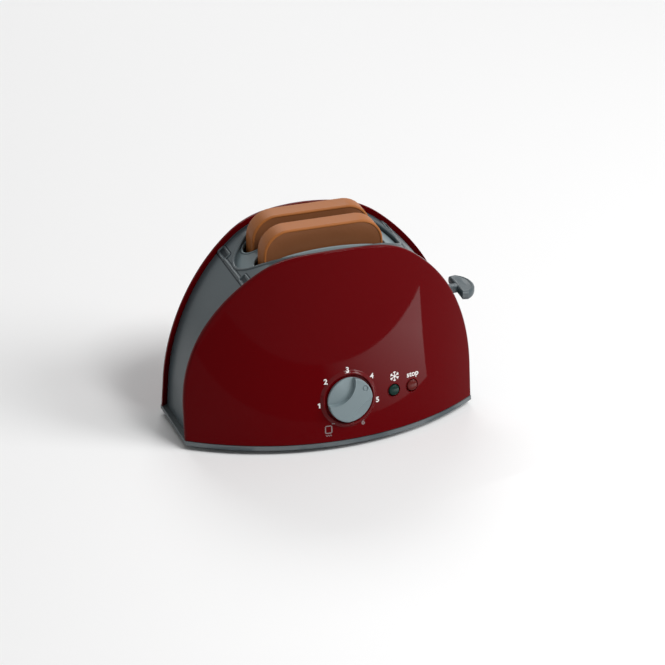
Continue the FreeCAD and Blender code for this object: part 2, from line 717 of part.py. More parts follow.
def rod_bridge():
    """The plate that ties the rods' tops to the ends of the toast guides."""
    wide = f"({SLOT_Y} + slot_width / 2 + guide_wall)"
    low = f"({CARRIAGE_TOP} + moving_gap)"
    plate = box(
        "bridge_plate",
        ("well_x + slot_length / 2 + guide_end + seam_gap", CARRIAGE_RIGHT),
        (f"-{wide}", wide),
        (low, ROD_TOP),
    )
    holes = []
    for number, y in enumerate(("-rod_y", "rod_y")):
        depth = (f"{low} - 1", ROD_TOP + " + 1")
        holes.append(post(f"bridge_hole_{number}", "rod_radius + running_gap", "carriage_x", y, depth))
    return subpart(cut("bridge_cut", plate, *holes), "rod_bridge")


def toast_carriage():
    half = "(carriage_width / 2)"
    height = (CARRIAGE_BOTTOM, CARRIAGE_TOP)
    block = box("carriage_block", (CARRIAGE_LEFT, CARRIAGE_RIGHT), (f"-{half}", half), height)
    arms = []
    for name, y in (("front_arm", f"-{SLOT_Y}"), ("rear_arm", SLOT_Y)):
        reach = ("well_x - toast_width / 2 + 2", f"{CARRIAGE_LEFT} + 1")
        depth = (f"{y} - arm_width / 2", f"{y} + arm_width / 2")
        arms.append(box(name, reach, depth, (CARRIAGE_BOTTOM, f"{CARRIAGE_BOTTOM} + arm_height")))
    tab_half = "(catch_width / 2 - 0.5)"
    tab = box(
        "catch_tab",
        (f"carriage_x - {tab_half}", f"carriage_x + {tab_half}"),
        (f"{half} - 1", f"{half} + tab_length"),
        (f"{TAB_TOP} - tab_height", TAB_TOP),
    )
    cuts = [lever_neck("neck_pocket", "seam_gap / 3")]
    for number, y in enumerate(("-rod_y", "rod_y")):
        depth = (f"{CARRIAGE_BOTTOM} - 1", f"{CARRIAGE_TOP} + 1")
        cuts.append(post(f"carriage_bore_{number}", "rod_radius + running_gap", "carriage_x", y, depth))
    return subpart(cut("carriage_cut", fuse("carriage_whole", block, tab, *arms), *cuts), "toast_carriage")


def lever_neck(name, grow):
    low = f"{LEVER_HEIGHT} - neck_height / 2 - {grow}"
    high = f"{LEVER_HEIGHT} + neck_height / 2 + {grow}"
    half = f"(neck_width / 2 + {grow})"
    reach = (f"{CARRIAGE_RIGHT} - neck_hold - {grow}", f"{PADDLE_LEFT} + 1")
    return box(name, reach, (f"-{half}", half), (low, high))


def lever_paddle():
    height = (f"{LEVER_HEIGHT} - paddle_height / 2", f"{LEVER_HEIGHT} + paddle_height / 2")
    blade = box("paddle_blade", (PADDLE_LEFT, PADDLE_TIP), ("-paddle_width / 2", "paddle_width / 2"), height)
    tip = post("paddle_tip", "paddle_tip_radius", f"{PADDLE_TIP} - paddle_tip_radius", 0, height)
    tongue = common("paddle_round", blade, tip)
    return subpart(fuse("paddle_whole", lever_neck("neck", "0"), tongue), "lever_paddle")


def coil(name, radius, wire, turns, length):
    """A wire of eight flats wound up the z axis."""
    helix = doc.addObject("Part::Helix", name + "_helix")
    bind(helix, Radius=radius, Pitch=f"({length}) / ({turns})", Height=length)
    section = doc.addObject("Part::RegularPolygon", name + "_section")
    section.Polygon = 8
    section.Placement = Placement(Vector(), Rotation(Vector(1, 0, 0), 90))
    bind(section, Circumradius=wire)
    put(section, radius, 0, 0)
    made = doc.addObject("Part::Sweep", name)
    made.Sections = [section]
    made.Spine = (helix, ["Edge1"])
    made.Solid = True
    made.Frenet = True
    return made


def lift_springs():
    low = f"({BASE_TOP} + rod_boss_height + spring_wire + 0.1)"
    high = f"({CARRIAGE_BOTTOM} - spring_wire - 0.2)"
    length = f"({high} - {low})"
    springs = []
    for number, y in enumerate(("-rod_y", "rod_y")):
        spring = coil(f"lift_coil_{number}", "spring_radius", "spring_wire", "spring_turns", length)
        springs.append(put(spring, "carriage_x", y, low))
    group = doc.addObject("Part::Compound", "spring_group")
    group.Links = springs
    return subpart(group, "lift_springs")


# ---- Catch ----


def catch_pin_solid(name, radius, extra):
    half = f"(catch_width / 2 + moving_gap + ear_thickness + {extra})"
    return side_rod(name, radius, (f"carriage_x - {half}", f"carriage_x + {half}"), CATCH_Y, CATCH_Z)


def catch():
    """An upright arm with a hook over the carriage's tab, leaning back when open."""
    hook_low = f"({TAB_TOP} - lever_travel + moving_gap - {CATCH_Z})"
    half = "(catch_width / 2)"
    deep = "(catch_thickness / 2)"
    arm = box("catch_arm", (f"-{half}", half), (f"-{deep}", deep), ("0", f"{hook_low} + hook_height"))
    eye = side_rod("catch_eye", "catch_eye_radius", (f"-{half}", half), 0, 0)
    reach = (f"-{deep} - hook_length", f"-{deep} + 1")
    hook = box("catch_hook", (f"-{half}", half), reach, (hook_low, f"{hook_low} + hook_height"))
    bore = side_rod("catch_bore", "catch_pin_radius + running_gap", (f"-{half} - 1", f"{half} + 1"), 0, 0)
    made = cut("catch_cut", fuse("catch_whole", arm, eye, hook), bore)
    turn(made, (-1, 0, 0), "catch_open")
    return subpart(put(made, "carriage_x", CATCH_Y, CATCH_Z), "catch")


# ---- Dial, timer and buttons ----


def timer_knob():
    """A low dial with a scoop on each side of its grip, which lies along the pointer."""
    disc = face_post("knob_disc", "knob_radius", "dial_x", "dial_v", (KNOB_BASE, "knob_height"))
    cuts = [face_post("knob_bore", "arbor_radius", "dial_x", "dial_v", ("-1", "knob_height - 1"))]
    for name, level in (("deep", "knob_floor"), ("flat", "flat_floor")):
        offset = f"({name}_scoop_radius + {name}_scoop_edge)"
        angle = f"(pointer_angle + {name}_scoop_turn)"
        u, v = f"dial_x + {offset} * cos({angle})", f"dial_v + {offset} * sin({angle})"
        cuts.append(face_post(f"{name}_scoop", f"{name}_scoop_radius", u, v, (level, "knob_height + 1")))
    return subpart(cut("knob_cut", disc, *cuts), "timer_knob")


def knob_arbor():
    reach = (f"-{PLATE_BACK} - plate_wall - 1", "knob_height - 1")
    return subpart(face_post("arbor_rod", "arbor_radius", "dial_x", "dial_v", reach), "knob_arbor")


def gear_solid(teeth, module, thickness):
    """A spur wheel with straight-flanked teeth, narrow enough to run free in its mesh."""
    count = round(teeth)
    pitch = module * count / 2
    step = 2 * math.pi / count
    levels = ((pitch - 1.15 * module, 0.31), (pitch, 0.20), (pitch + 0.8 * module, 0.10))
    points = []
    for tooth in range(count):
        middle = tooth * step
        for radius, share in levels:
            angle = middle - share * step
            points.append(Vector(radius * math.cos(angle), radius * math.sin(angle), 0))
        for radius, share in reversed(levels):
            angle = middle + share * step
            points.append(Vector(radius * math.cos(angle), radius * math.sin(angle), 0))
    outline = Part.makePolygon(points + points[:1])
    return Part.Face(outline).extrude(Vector(0, 0, thickness))


def main_wheel():
    wheel = doc.addObject("Part::Feature", "main_wheel_solid")
    solid = gear_solid(size("main_teeth"), size("gear_module"), size("wheel_wall"))
    bore = Part.makeCylinder(size("arbor_radius"), 3 * size("wheel_wall"), Vector(0, 0, -size("wheel_wall")))
    wheel.Shape = solid.cut(bore)
    on_face(wheel, "dial_x", "dial_v", "-plate_front - plate_wall - wheel_back - wheel_wall")
    return subpart(wheel, "main_wheel")


def mainspring():
    """The coiled strip, drawn as one packed ring on the arbor."""
    back = f"-{PLATE_BACK} + mainspring_gap"
    depth = (back, f"{back} + mainspring_width")
    ring = face_post("spring_pack", "mainspring_radius", "dial_x", "dial_v", depth)
    through = (f"{back} - 1", f"{back} + mainspring_width + 1")
    eye = face_post("spring_eye", "arbor_radius", "dial_x", "dial_v", through)
    return subpart(cut("mainspring_cut", ring, eye), "mainspring")


def escape_wheel():
    """A pinion and a saw-toothed wheel on one pivot rod, half a tooth out of step with the main wheel."""
    teeth = round(size("pinion_teeth"))
    count = round(size("escape_teeth"))
    wall = size("wheel_wall")
    space = size("plate_space")
    edge = size("pinion_margin")
    pinion = gear_solid(teeth, size("gear_module"), wall + 2 * edge)
    pinion.rotate(Vector(), Vector(0, 0, 1), 180 / teeth)
    pinion.translate(Vector(0, 0, -size("wheel_back") - wall - edge))
    outer, inner = size("escape_radius"), 0.78 * size("escape_radius")
    points = []
    for tooth in range(count):
        angle = 2 * math.pi * tooth / count
        back = angle + 1.7 * math.pi / count
        points.append(Vector(outer * math.cos(angle), outer * math.sin(angle), 0))
        points.append(Vector(inner * math.cos(back), inner * math.sin(back), 0))
    wheel = Part.Face(Part.makePolygon(points + points[:1])).extrude(Vector(0, 0, wall))
    wheel.translate(Vector(0, 0, -size("escape_back")))
    back = space + size("plate_wall")
    rod = Part.makeCylinder(size("pivot_radius"), back + size("plate_wall"), Vector(0, 0, -back))
    made = doc.addObject("Part::Feature", "escape_solid")
    made.Shape = rod.fuse([pinion, wheel])
    on_face(made, ESCAPE_X, "dial_v", "-plate_front - plate_wall")
    return subpart(made, "escape_wheel")


def anchor():
    """A rocking yoke over the escape wheel, with a pallet on each side."""
    back = "-plate_front - plate_wall - escape_back"
    depth = (back, back + " + wheel_wall")
    pivot_v = "(dial_v + anchor_rise)"
    reach = (f"-{PLATE_BACK} - plate_wall / 2", "-plate_front - plate_wall / 2")
    rod = face_post("anchor_rod", "pivot_radius", ESCAPE_X, pivot_v, reach)
    near = "(escape_radius + anchor_gap)"
    far = f"({near} + pallet_width)"
    height = (f"{pivot_v} - anchor_bar / 2", f"{pivot_v} + anchor_bar / 2")
    bar = face_box("anchor_yoke", (f"{ESCAPE_X} - {far}", f"{ESCAPE_X} + {far}"), height, depth)
    pallets = []
    for name, low, high in (
        ("left_pallet", f"{ESCAPE_X} - {far}", f"{ESCAPE_X} - {near}"),
        ("right_pallet", f"{ESCAPE_X} + {near}", f"{ESCAPE_X} + {far}"),
    ):
        pallets.append(face_box(name, (low, high), ("dial_v + escape_radius / 3", pivot_v), depth))
    return subpart(fuse("anchor_whole", rod, bar, *pallets), "anchor")


def timer_plate(label, front):
    """A plate with bearing holes for the arbor, the escape wheel and the anchor."""
    depth = (f"-({front}) - plate_wall", f"-({front})")
    u = ("dial_x - plate_left", "dial_x + plate_right")
    v = ("dial_v - plate_below", "dial_v + plate_above")
    holes = []
    for name, radius, x, y in (
        ("arbor", "arbor_radius", "dial_x", "dial_v"),
        ("escape", "pivot_radius", ESCAPE_X, "dial_v"),
        ("anchor", "pivot_radius", ESCAPE_X, "dial_v + anchor_rise"),
    ):
        through = (f"{depth[0]} - 1", f"{depth[1]} + 1")
        holes.append(face_post(f"{label}_{name}_hole", f"{radius} + running_gap", x, y, through))
    return subpart(cut(label + "_cut", face_box(label + "_plate", u, v, depth), *holes), label)


def timer_pillars():
    pillars = []
    for number, (u, v) in enumerate(plate_corners()):
        depth = (f"-{PLATE_BACK}", "-plate_front - plate_wall")
        pillars.append(face_post(f"pillar_{number}", "pillar_radius", u, v, depth))
    group = doc.addObject("Part::Compound", "pillar_group")
    group.Links = pillars
    return subpart(group, "timer_pillars")


def flange_top(u):
    """Where a button's rim meets the inside of the shell at the rim's lowest side."""
    reach = f"({u} + button_radius + moving_gap + button_flange)"
    return f"({face_level(reach, 'panel_wall')} - moving_gap)"


def button(name, u):
    top = f"({face_level(u, 0)} + button_rise)"
    rim = flange_top(u)
    cap = face_post(name + "_cap", "button_radius", u, "button_v", (f"{rim} - button_flange", top))
    flange_radius = "button_radius + moving_gap + button_flange"
    flange = face_post(name + "_flange", flange_radius, u, "button_v", (f"{rim} - button_flange", rim))
    depth = ("-bracket_depth - bracket_wall", f"{rim} - button_flange")
    stem = face_post(name + "_stem", "stem_radius", u, "button_v", depth)
    return subpart(fuse(name + "_whole", cap, flange, stem), name + "_button")


def button_spring(name, u):
    high = f"({flange_top(u)} - button_flange - 0.35)"
    low = "(-bracket_depth + 0.35)"
    spring = coil(name + "_coil", "(stem_radius + 0.7)", "0.25", "4", f"({high} - {low})")
    return subpart(on_face(spring, u, "button_v", low), name + "_spring")


def button_bracket():
    u = ("button_x - bracket_margin", "button_x + button_pitch + bracket_margin")
    v = ("button_v - bracket_margin - 2", "button_v + bracket_margin + 2")
    plate = face_box("bracket_plate", u, v, ("-bracket_depth - bracket_wall", "-bracket_depth"))
    middle = "(button_x + button_pitch / 2)"
    legs = []
    for name, low, high in (
        ("lower_leg", v[0], f"{v[0]} + 3"),
        ("upper_leg", f"{v[1]} - 3", v[1]),
    ):
        span = (f"{middle} - bracket_leg / 2", f"{middle} + bracket_leg / 2")
        rest = f"{face_level(middle + ' + bracket_leg / 2', 'panel_wall')} - seam_gap"
        legs.append(face_box(name, span, (low, high), ("-bracket_depth - 1", rest)))
    holes = []
    for name, x in button_places():
        through = ("-bracket_depth - bracket_wall - 1", "-bracket_depth + 1")
        holes.append(face_post(f"{name}_guide", "stem_radius + running_gap", x, "button_v", through))
    return subpart(cut("bracket_cut", fuse("bracket_whole", plate, *legs), *holes), "button_bracket")


front_shell()
rear_shell()
housing_band()
slot_deck()
base_plate()
base_screws()
toast("front_toast", f"-{SLOT_Y}")
toast("rear_toast", SLOT_Y)
OUTER_GUIDE = f"({SLOT_Y} + slot_width / 2 + guide_wall / 2)"
guide_wall("front_guide", f"-{OUTER_GUIDE}")
guide_wall("centre_guide", "0")
guide_wall("rear_guide", OUTER_GUIDE)
guide_rods()
rod_bridge()
toast_carriage()
lever_paddle()
lift_springs()
subpart(catch_pin_solid("catch_pin_rod", "catch_pin_radius", 0), "catch_pin")
catch()
timer_knob()
knob_arbor()
main_wheel()
mainspring()
escape_wheel()
anchor()
timer_plate("timer_front_plate", "plate_front")
timer_plate("timer_back_plate", PLATE_BACK)
timer_pillars()
for button_name, button_u in button_places():
    button(button_name, button_u)
    button_spring(button_name, button_u)
button_bracket()

doc.recompute()

for obj in doc.Objects:
    if "Invalid" in obj.State or "Error" in obj.State:
        raise RuntimeError(f"{obj.Name} failed: {obj.State}")

os.makedirs("parts", exist_ok=True)
for piece in SUBPARTS:
    shape = piece.Shape
    if shape.isNull() or not shape.isValid() or not shape.Solids:
        raise RuntimeError(f"{piece.Label} has no valid solid")
for piece in SUBPARTS:
    piece.Shape.exportStep(f"parts/{piece.Label}.step")
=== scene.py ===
"""Toy toaster: leaning glossy shells, a satin band with an oval deck, toasts, dial, buttons and lever."""
import json
import math

import bmesh
import bpy
import numpy as np
from mathutils import Matrix, Vector

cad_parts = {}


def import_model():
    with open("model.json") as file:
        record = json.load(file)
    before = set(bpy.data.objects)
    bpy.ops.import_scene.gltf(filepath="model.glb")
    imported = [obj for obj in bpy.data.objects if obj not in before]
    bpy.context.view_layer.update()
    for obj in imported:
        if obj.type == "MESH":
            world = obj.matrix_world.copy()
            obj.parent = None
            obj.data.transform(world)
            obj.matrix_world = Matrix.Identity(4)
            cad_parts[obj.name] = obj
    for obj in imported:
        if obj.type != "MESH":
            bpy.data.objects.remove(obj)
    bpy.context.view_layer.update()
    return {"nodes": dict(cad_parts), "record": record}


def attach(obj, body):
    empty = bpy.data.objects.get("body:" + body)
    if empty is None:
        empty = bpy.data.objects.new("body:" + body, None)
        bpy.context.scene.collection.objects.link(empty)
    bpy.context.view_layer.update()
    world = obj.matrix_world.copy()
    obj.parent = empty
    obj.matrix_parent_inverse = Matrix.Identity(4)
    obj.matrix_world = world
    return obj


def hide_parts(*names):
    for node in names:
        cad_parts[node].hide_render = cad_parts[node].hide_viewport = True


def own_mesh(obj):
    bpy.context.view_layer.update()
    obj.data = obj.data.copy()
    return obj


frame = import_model()

MM = 0.001
# where the toaster's middle stands in the frame, in millimetres
SHIFT = np.array([-4.5, 0.99, 0.0])

# ---- Sizes of the toaster, in millimetres ----

# the shells' arch: half its width, its height, the height where its side arc starts, and its three radii
HALF_WIDTH, TOP_HEIGHT, SIDE_HEIGHT = 94.0, 127.0, 27.0
SIDE_R, SHOULDER_R, CROWN_R = 110.0, 52.0, 188.0
# the faces: half the depth at the floor, the barrel's radius, and the lean
HALF_DEPTH, FACE_R, LEAN = 55.6, 165.0, math.radians(8.5)
SIN, COS = math.sin(LEAN), math.cos(LEAN)
# thickness of shells and band, how far the shells stand out past the band, the seam, and the base's height
PANEL_WALL, BAND_WALL, LIP, SEAM, BASE_TOP = 2.5, 2.5, 3.5, 0.15, 6.0
# the dial and the buttons: places sideways (X, and each button's own) and up along the face (V), and their radii
DIAL_X, DIAL_V, DIAL_HOLE_R, KNOB_R = 2.5, 33.0, 6.0, 14.45
BUTTON_V, BUTTONS, BUTTON_HOLE_R, BRACKET_DEPTH = 32.5, {"defrost": 33.2, "stop": 46.3}, 4.15, 17.0
# the oval deck with its half axes, and the toast slots in it
DECK_X, DECK_A, DECK_B = -1.0, 52.5, 29.0
WELL_X, SLOT_Y, SLOT_LENGTH, SLOT_WIDTH = -3.0, 11.0, 84.0, 15.0
# the lever at rest, its travel, its neck and the width of the neck's slot
LEVER_Z, TRAVEL, NECK_WIDE, NECK_TALL, LEVER_SLOT = 70.0, 38.0, 4.8, 5.0, 6.0
# the rack's bars, and the frames' distance from the middle
BAR_X, BAR_LENGTH, FRAME_Y = (-55.7, 53.7), 28.8, 20.4
# a slice, and the height that it stands at
TOAST_WIDTH, TOAST_HEIGHT, TOAST_THICKNESS, TOAST_FOOT = 77.0, 74.0, 12.0, 61.3
# radius of the innermost ring of a turned piece, which one face closes
TINY = 0.02


# ---- Meshes from arrays ----


def grid_faces(rows, cols, wrap_rows, wrap_cols):
    """Quads between neighbours on a rows x cols grid; a wrapped direction joins its last line to its first."""
    r = np.arange(rows if wrap_rows else rows - 1)
    c = np.arange(cols if wrap_cols else cols - 1)
    i, j = np.meshgrid(r, c, indexing="ij")
    i2, j2 = (i + 1) % rows, (j + 1) % cols
    quads = np.stack([i * cols + j, i * cols + j2, i2 * cols + j2, i2 * cols + j], -1)
    return quads.reshape(-1, 4)


def linked(name, data):
    """An object of the given data, linked to the scene."""
    obj = bpy.data.objects.new(name, data)
    bpy.context.scene.collection.objects.link(obj)
    return obj


def new_piece(name, points, faces, rings=()):
    """A mesh object from millimetre points about the toaster's middle, quads, and rings closed by one face each."""
    mesh = bpy.data.meshes.new(name)
    place = (np.asarray(points, float).reshape(-1, 3) + SHIFT) * MM
    quads = [tuple(f) for f in np.asarray(faces).tolist()]
    mesh.from_pydata(place.tolist(), [], quads + [tuple(ring) for ring in rings])
    mesh.validate()
    return linked(name, mesh)


def outward(obj):
    """Turn every face of a closed piece outwards."""
    work = bmesh.new()
    work.from_mesh(obj.data)
    bmesh.ops.remove_doubles(work, verts=work.verts, dist=1e-7)
    bmesh.ops.recalc_face_normals(work, faces=work.faces)
    work.to_mesh(obj.data)
    work.free()
    return obj


def smooth(obj, angle):
    """Shade a piece smooth, with creases sharper than the angle left sharp."""
    obj.data.polygons.foreach_set("use_smooth", [True] * len(obj.data.polygons))
    obj.data.set_sharp_from_angle(angle=math.radians(angle))


def bake(obj):
    """Apply a piece's modifiers to its mesh."""
    graph = bpy.context.evaluated_depsgraph_get()
    mesh = bpy.data.meshes.new_from_object(obj.evaluated_get(graph))
    obj.modifiers.clear()
    obj.data = mesh


def carve(obj, *cutters):
    """Take the cutters out of a piece and remove them."""
    for cutter in cutters:
        step = obj.modifiers.new("carve", "BOOLEAN")
        step.operation = "DIFFERENCE"
        step.solver = "EXACT"
        step.object = cutter
    bake(obj)
    for cutter in cutters:
        bpy.data.objects.remove(cutter)


def join(name, *objs):
    """Several pieces as one mesh."""
    first = objs[0]
    with bpy.context.temp_override(active_object=first, selected_editable_objects=list(objs)):
        bpy.ops.object.join()
    first.name = name
    return first


def skin(name, rows, closed=False):
    """A closed piece from rows of points, each row a loop: the last row joins the first, or both ends are capped."""
    rows = np.asarray(rows)
    count, wide = rows.shape[:2]
    rings = [] if closed else [range(wide), range((count - 1) * wide, count * wide)]
    return outward(new_piece(name, rows, grid_faces(count, wide, closed, True), rings))


def tube(name, path, profile_out, profile_up, sides, closed):
    """A profile carried along a path: each path point plus the profile's parts along two unit vectors."""
    out, up = sides
    a, b = np.asarray(profile_out)[None, :, None], np.asarray(profile_up)[None, :, None]
    return skin(name, path[:, None, :] + a * out[:, None, :] + b * up[:, None, :], closed)


# ---- The arch and the leaning faces ----


def arch_centres():
    """Centres of the side, shoulder and crown arcs: the shoulder's lies where circles about the other two meet."""
    side = np.array([HALF_WIDTH - SIDE_R, SIDE_HEIGHT])
    crown = np.array([0.0, TOP_HEIGHT - CROWN_R])
    a, b = SIDE_R - SHOULDER_R, CROWN_R - SHOULDER_R
    gap = crown - side
    length = np.hypot(*gap)
    along = (a * a - b * b + length * length) / (2 * length)
    unit = gap / length
    shoulder = side + unit * along + np.array([-unit[1], unit[0]]) * math.sqrt(a * a - along * along)
    return side, shoulder, crown


def arch(inset, low, count):
    """The arch's (x, z) from lower right over the top to lower left, drawn in by the inset, with outward normals.

    The right half is a vertical line and three arcs of shrunken radius, sampled evenly by length; the left
    mirrors it.
    """
    side, shoulder, crown = arch_centres()
    to_shoulder = shoulder - side
    first = math.atan2(to_shoulder[1], to_shoulder[0])
    to_crown = shoulder - crown
    second = math.atan2(to_crown[1], to_crown[0])
    lengths = np.array([SIDE_HEIGHT - low, (SIDE_R - inset) * first, (SHOULDER_R - inset) * (second - first),
                        (CROWN_R - inset) * (math.pi / 2 - second)])
    ends = np.concatenate([[0], np.cumsum(lengths)])
    s = np.linspace(0, ends[-1], count)
    angle = np.zeros(count)
    centre = np.zeros((count, 2))
    radius = np.zeros(count)
    arcs = ((side, SIDE_R, 0.0), (shoulder, SHOULDER_R, first), (crown, CROWN_R, second))
    for k, (mid, r, start) in enumerate(arcs, 1):
        here = (s >= ends[k]) if k == len(arcs) else (s >= ends[k]) & (s < ends[k + 1])
        angle[here] = start + (s[here] - ends[k]) / (r - inset)
        centre[here] = mid
        radius[here] = r - inset
    normal = np.stack([np.cos(angle), np.sin(angle)], -1)
    points = centre + radius[:, None] * normal
    line = s < ends[1]
    points[line] = np.stack([np.full(line.sum(), HALF_WIDTH - inset), low + s[line]], -1)
    left = points[-2::-1] * [-1, 1]
    left_normal = normal[-2::-1] * [-1, 1]
    return np.concatenate([points, left]), np.concatenate([normal, left_normal])


def face_y(x, z, inset, side=-1):
    """Depth of a face at (x, z): its middle line, plus the height's share of the lean, less the barrel's height."""
    w = np.sqrt((FACE_R - inset) ** 2 - x * x) - FACE_R
    return -side * (-HALF_DEPTH + z * math.tan(LEAN) - w / COS)


def on_face(u, v, w):
    """A point from face values: u sideways, v up along the face, w out of its middle line."""
    u, v, w = np.broadcast_arrays(u, v, w)
    return np.stack([u, -HALF_DEPTH + v * SIN - w * COS, v * COS + w * SIN], -1)


def barrel(u):
    """Height of the barrel face at u over its middle line, which is never more than nought."""
    return np.sqrt(FACE_R**2 - u * u) - FACE_R


def panel_outline(inset, low, count=200, floor=150):
    """The arch drawn in by the inset and closed by its floor line, anticlockwise from the lower right corner."""
    top, _ = arch(inset, low, count)
    x = np.linspace(top[-1, 0], top[0, 0], floor + 2)[1:-1]
    bottom = np.stack([x, np.full(floor, low)], -1)
    return np.concatenate([top, bottom])


def shell(name, side, opening):
    """A curved panel as one closed sheet; the opening is the radius of the arbor's hole, or nought for none.

    Each line starts about the dial's middle on the outer face, runs out to the rim, turns over it on a quarter
    circle, crosses the wall, turns again and comes back on the inner face.
    """
    r, q = 1.1, 0.4  # rounding of the rim's outer and inner edge
    start = opening or 0.05
    hole = np.array([DIAL_X, DIAL_V * COS])
    rows = []

    def level(inset, depth, share):
        """One line round the sheet, at a share of the way from the middle to the outline."""
        edge = panel_outline(inset, BASE_TOP + inset)
        ray = edge - hole
        ray = ray / np.linalg.norm(ray, axis=1)[:, None]
        xz = hole + start * ray + (edge - hole - start * ray) * share
        rows.append(np.stack([xz[:, 0], face_y(xz[:, 0], xz[:, 1], depth, side), xz[:, 1]], -1))

    for share in np.linspace(0, 1, 70):
        level(r, 0.0, share)
    for turn in np.linspace(0, math.pi / 2, 9)[1:]:
        level(r * (1 - math.sin(turn)), r * (1 - math.cos(turn)), 1)
    for turn in np.linspace(0, math.pi / 2, 5):
        level(q * (1 - math.cos(turn)), PANEL_WALL - q + q * math.sin(turn), 1)
    for share in np.linspace(1, 0, 24)[1:]:
        level(q, PANEL_WALL, share)
    return skin(name, rows, bool(opening))


def column(name, radius, u, v, low, high, count=64):
    """A round cutter square to the front face."""
    angle = np.linspace(0, 2 * math.pi, count, endpoint=False)
    return skin(name, [on_face(u + radius * np.cos(angle), v + radius * np.sin(angle), w) for w in (low, high)])


def prism(name, outline, low, high, axis):
    """A cutter that carries a flat outline along one of the axes, between two values that reach past the sheet."""
    return skin(name, [np.insert(outline, axis, value, 1) for value in (low, high)])


def stadium(length, width, centre, along=0, count=24):
    """A slot's outline: two half circles of the width, joined by straight sides."""
    r = width / 2
    turn = np.linspace(-math.pi / 2, math.pi / 2, count)
    right = np.stack([length / 2 - r + r * np.cos(turn), r * np.sin(turn)], -1)
    outline = np.concatenate([right, -right])
    if along:
        outline = outline[:, ::-1] * [-1, 1]
    return outline + np.asarray(centre)


def dense(outline, step=1.0):
    """A closed outline with points about one step apart."""
    ahead = np.roll(outline, -1, 0)
    gap = np.linalg.norm(ahead - outline, axis=1)
    run = np.concatenate([[0], np.cumsum(gap)])
    wanted = np.linspace(0, run[-1], max(int(run[-1] / step), 8), endpoint=False)
    loop = np.concatenate([outline, outline[:1]])
    return np.stack([np.interp(wanted, run, loop[:, k]) for k in (0, 1)], -1)


def soft_step(x):
    """Nought below 0, one above 1, and a smooth cubic between."""
    x = np.clip(x, 0, 1)
    return x * x * (3 - 2 * x)


def round_box(half_x, half_y, corner, centre=(0, 0), count=7):
    """A rectangle's outline with quarter circles at its corners, anticlockwise from the right."""
    turn = np.linspace(0, math.pi / 2, count)
    points = []
    for k, (sx, sy) in enumerate(((1, 1), (-1, 1), (-1, -1), (1, -1))):
        a = turn + k * math.pi / 2
        middle = np.array([sx * (half_x - corner), sy * (half_y - corner)])
        points.append(middle + corner * np.stack([np.cos(a), np.sin(a)], -1))
    return np.concatenate(points) + np.asarray(centre)


# ---- Shells ----

front = shell("shell_front", -1, DIAL_HOLE_R)
carve(front, *[column("button_well", BUTTON_HOLE_R, u, BUTTON_V, -12, 6) for u in BUTTONS.values()])
rear = shell("shell_rear", 1, 0.0)

# the dial's ring: its inner edge, crest and foot as radii, its rise, and how deep its foot is sunk
RING_IN, RING_CREST, RING_OUT, RING_RISE, RING_SUNK = 15.1, 16.4, 18.9, 1.5, 0.15


def ring_height(radius):
    """Height of the dial's ring over the panel: a quarter wave up to its crest and a smooth fall to its foot."""
    up = np.sin(np.clip((radius - RING_IN) / (RING_CREST - RING_IN), 0, 1) * math.pi / 2) ** 0.6
    down = 1 - soft_step((radius - RING_CREST) / (RING_OUT - RING_CREST))
    return np.where(radius < RING_CREST, up, down) * RING_RISE - RING_SUNK


def dial_ring():
    """The raised ring round the knob: its height turned about the knob's axis, its foot sunk into the panel."""
    turn = np.linspace(0, 2 * math.pi, 240, endpoint=False)
    across = np.concatenate([np.linspace(RING_IN, RING_CREST, 12)[:-1], np.linspace(RING_CREST, RING_OUT, 16)])
    radius = np.concatenate([across, [RING_OUT, RING_IN]])
    height = np.concatenate([ring_height(across), [-1.6, -1.6]])
    u = DIAL_X + radius[None, :] * np.cos(turn)[:, None]
    v = DIAL_V + radius[None, :] * np.sin(turn)[:, None]
    return skin("dial_ring", on_face(u, v, height[None, :] + barrel(u)), True)


ring = dial_ring()


def button_rim(name, u):
    """A thin raised edge round a button's hole: a small circle, half sunk, turned about the hole."""
    turn = np.linspace(0, 2 * math.pi, 72, endpoint=False)
    bend = np.linspace(0, 2 * math.pi, 12, endpoint=False)
    bead = 0.28
    radius = BUTTON_HOLE_R + 0.2 + bead * np.cos(bend)
    x = u + radius[None, :] * np.cos(turn)[:, None]
    y = BUTTON_V + radius[None, :] * np.sin(turn)[:, None]
    return skin(name, on_face(x, y, barrel(x) - 0.05 + bead * np.sin(bend)[None, :]), True)


rims = [button_rim(name + "_rim", u) for name, u in BUTTONS.items()]


# ---- Band and deck ----


def edge_y(points, inset):
    """Half depth of the band at its (x, z) points: up to the back of the panel, less the seam."""
    return -face_y(points[:, 0], points[:, 1], inset)


def band():
    """The band: the arch carried across the depth, its two outer edges turned down on a small quarter circle."""
    outer, normal = arch(LIP, BASE_TOP + SEAM, 300)
    inner, _ = arch(LIP + BAND_WALL, BASE_TOP + SEAM, 300)
    half_out = edge_y(outer, PANEL_WALL + SEAM)
    half_in = edge_y(inner, PANEL_WALL + SEAM)
    t = np.linspace(-1, 1, 120)
    x = outer[:, None, 0] + 0 * t
    z = outer[:, None, 1] + 0 * t
    y = half_out[:, None] * t[None, :]
    r = 0.5
    edge = (half_out[:, None] - np.abs(y)).clip(0)
    lift = -r * (1 - np.sqrt(1 - (1 - np.minimum(edge / r, 1)) ** 2))
    over = np.stack([x + normal[:, None, 0] * lift, y, z + normal[:, None, 1] * lift], -1)
    t = np.linspace(1, -1, 30)
    under = np.stack([inner[:, None, 0] + 0 * t, half_in[:, None] * t, inner[:, None, 1] + 0 * t], -1)
    return skin("band", np.concatenate([over, under], 1))


def ellipse(a, b, count=180):
    """An ellipse of (x, y) points about the deck's middle."""
    turn = np.linspace(0, 2 * math.pi, count, endpoint=False)
    return np.stack([DECK_X + a * np.cos(turn), b * np.sin(turn)], -1)


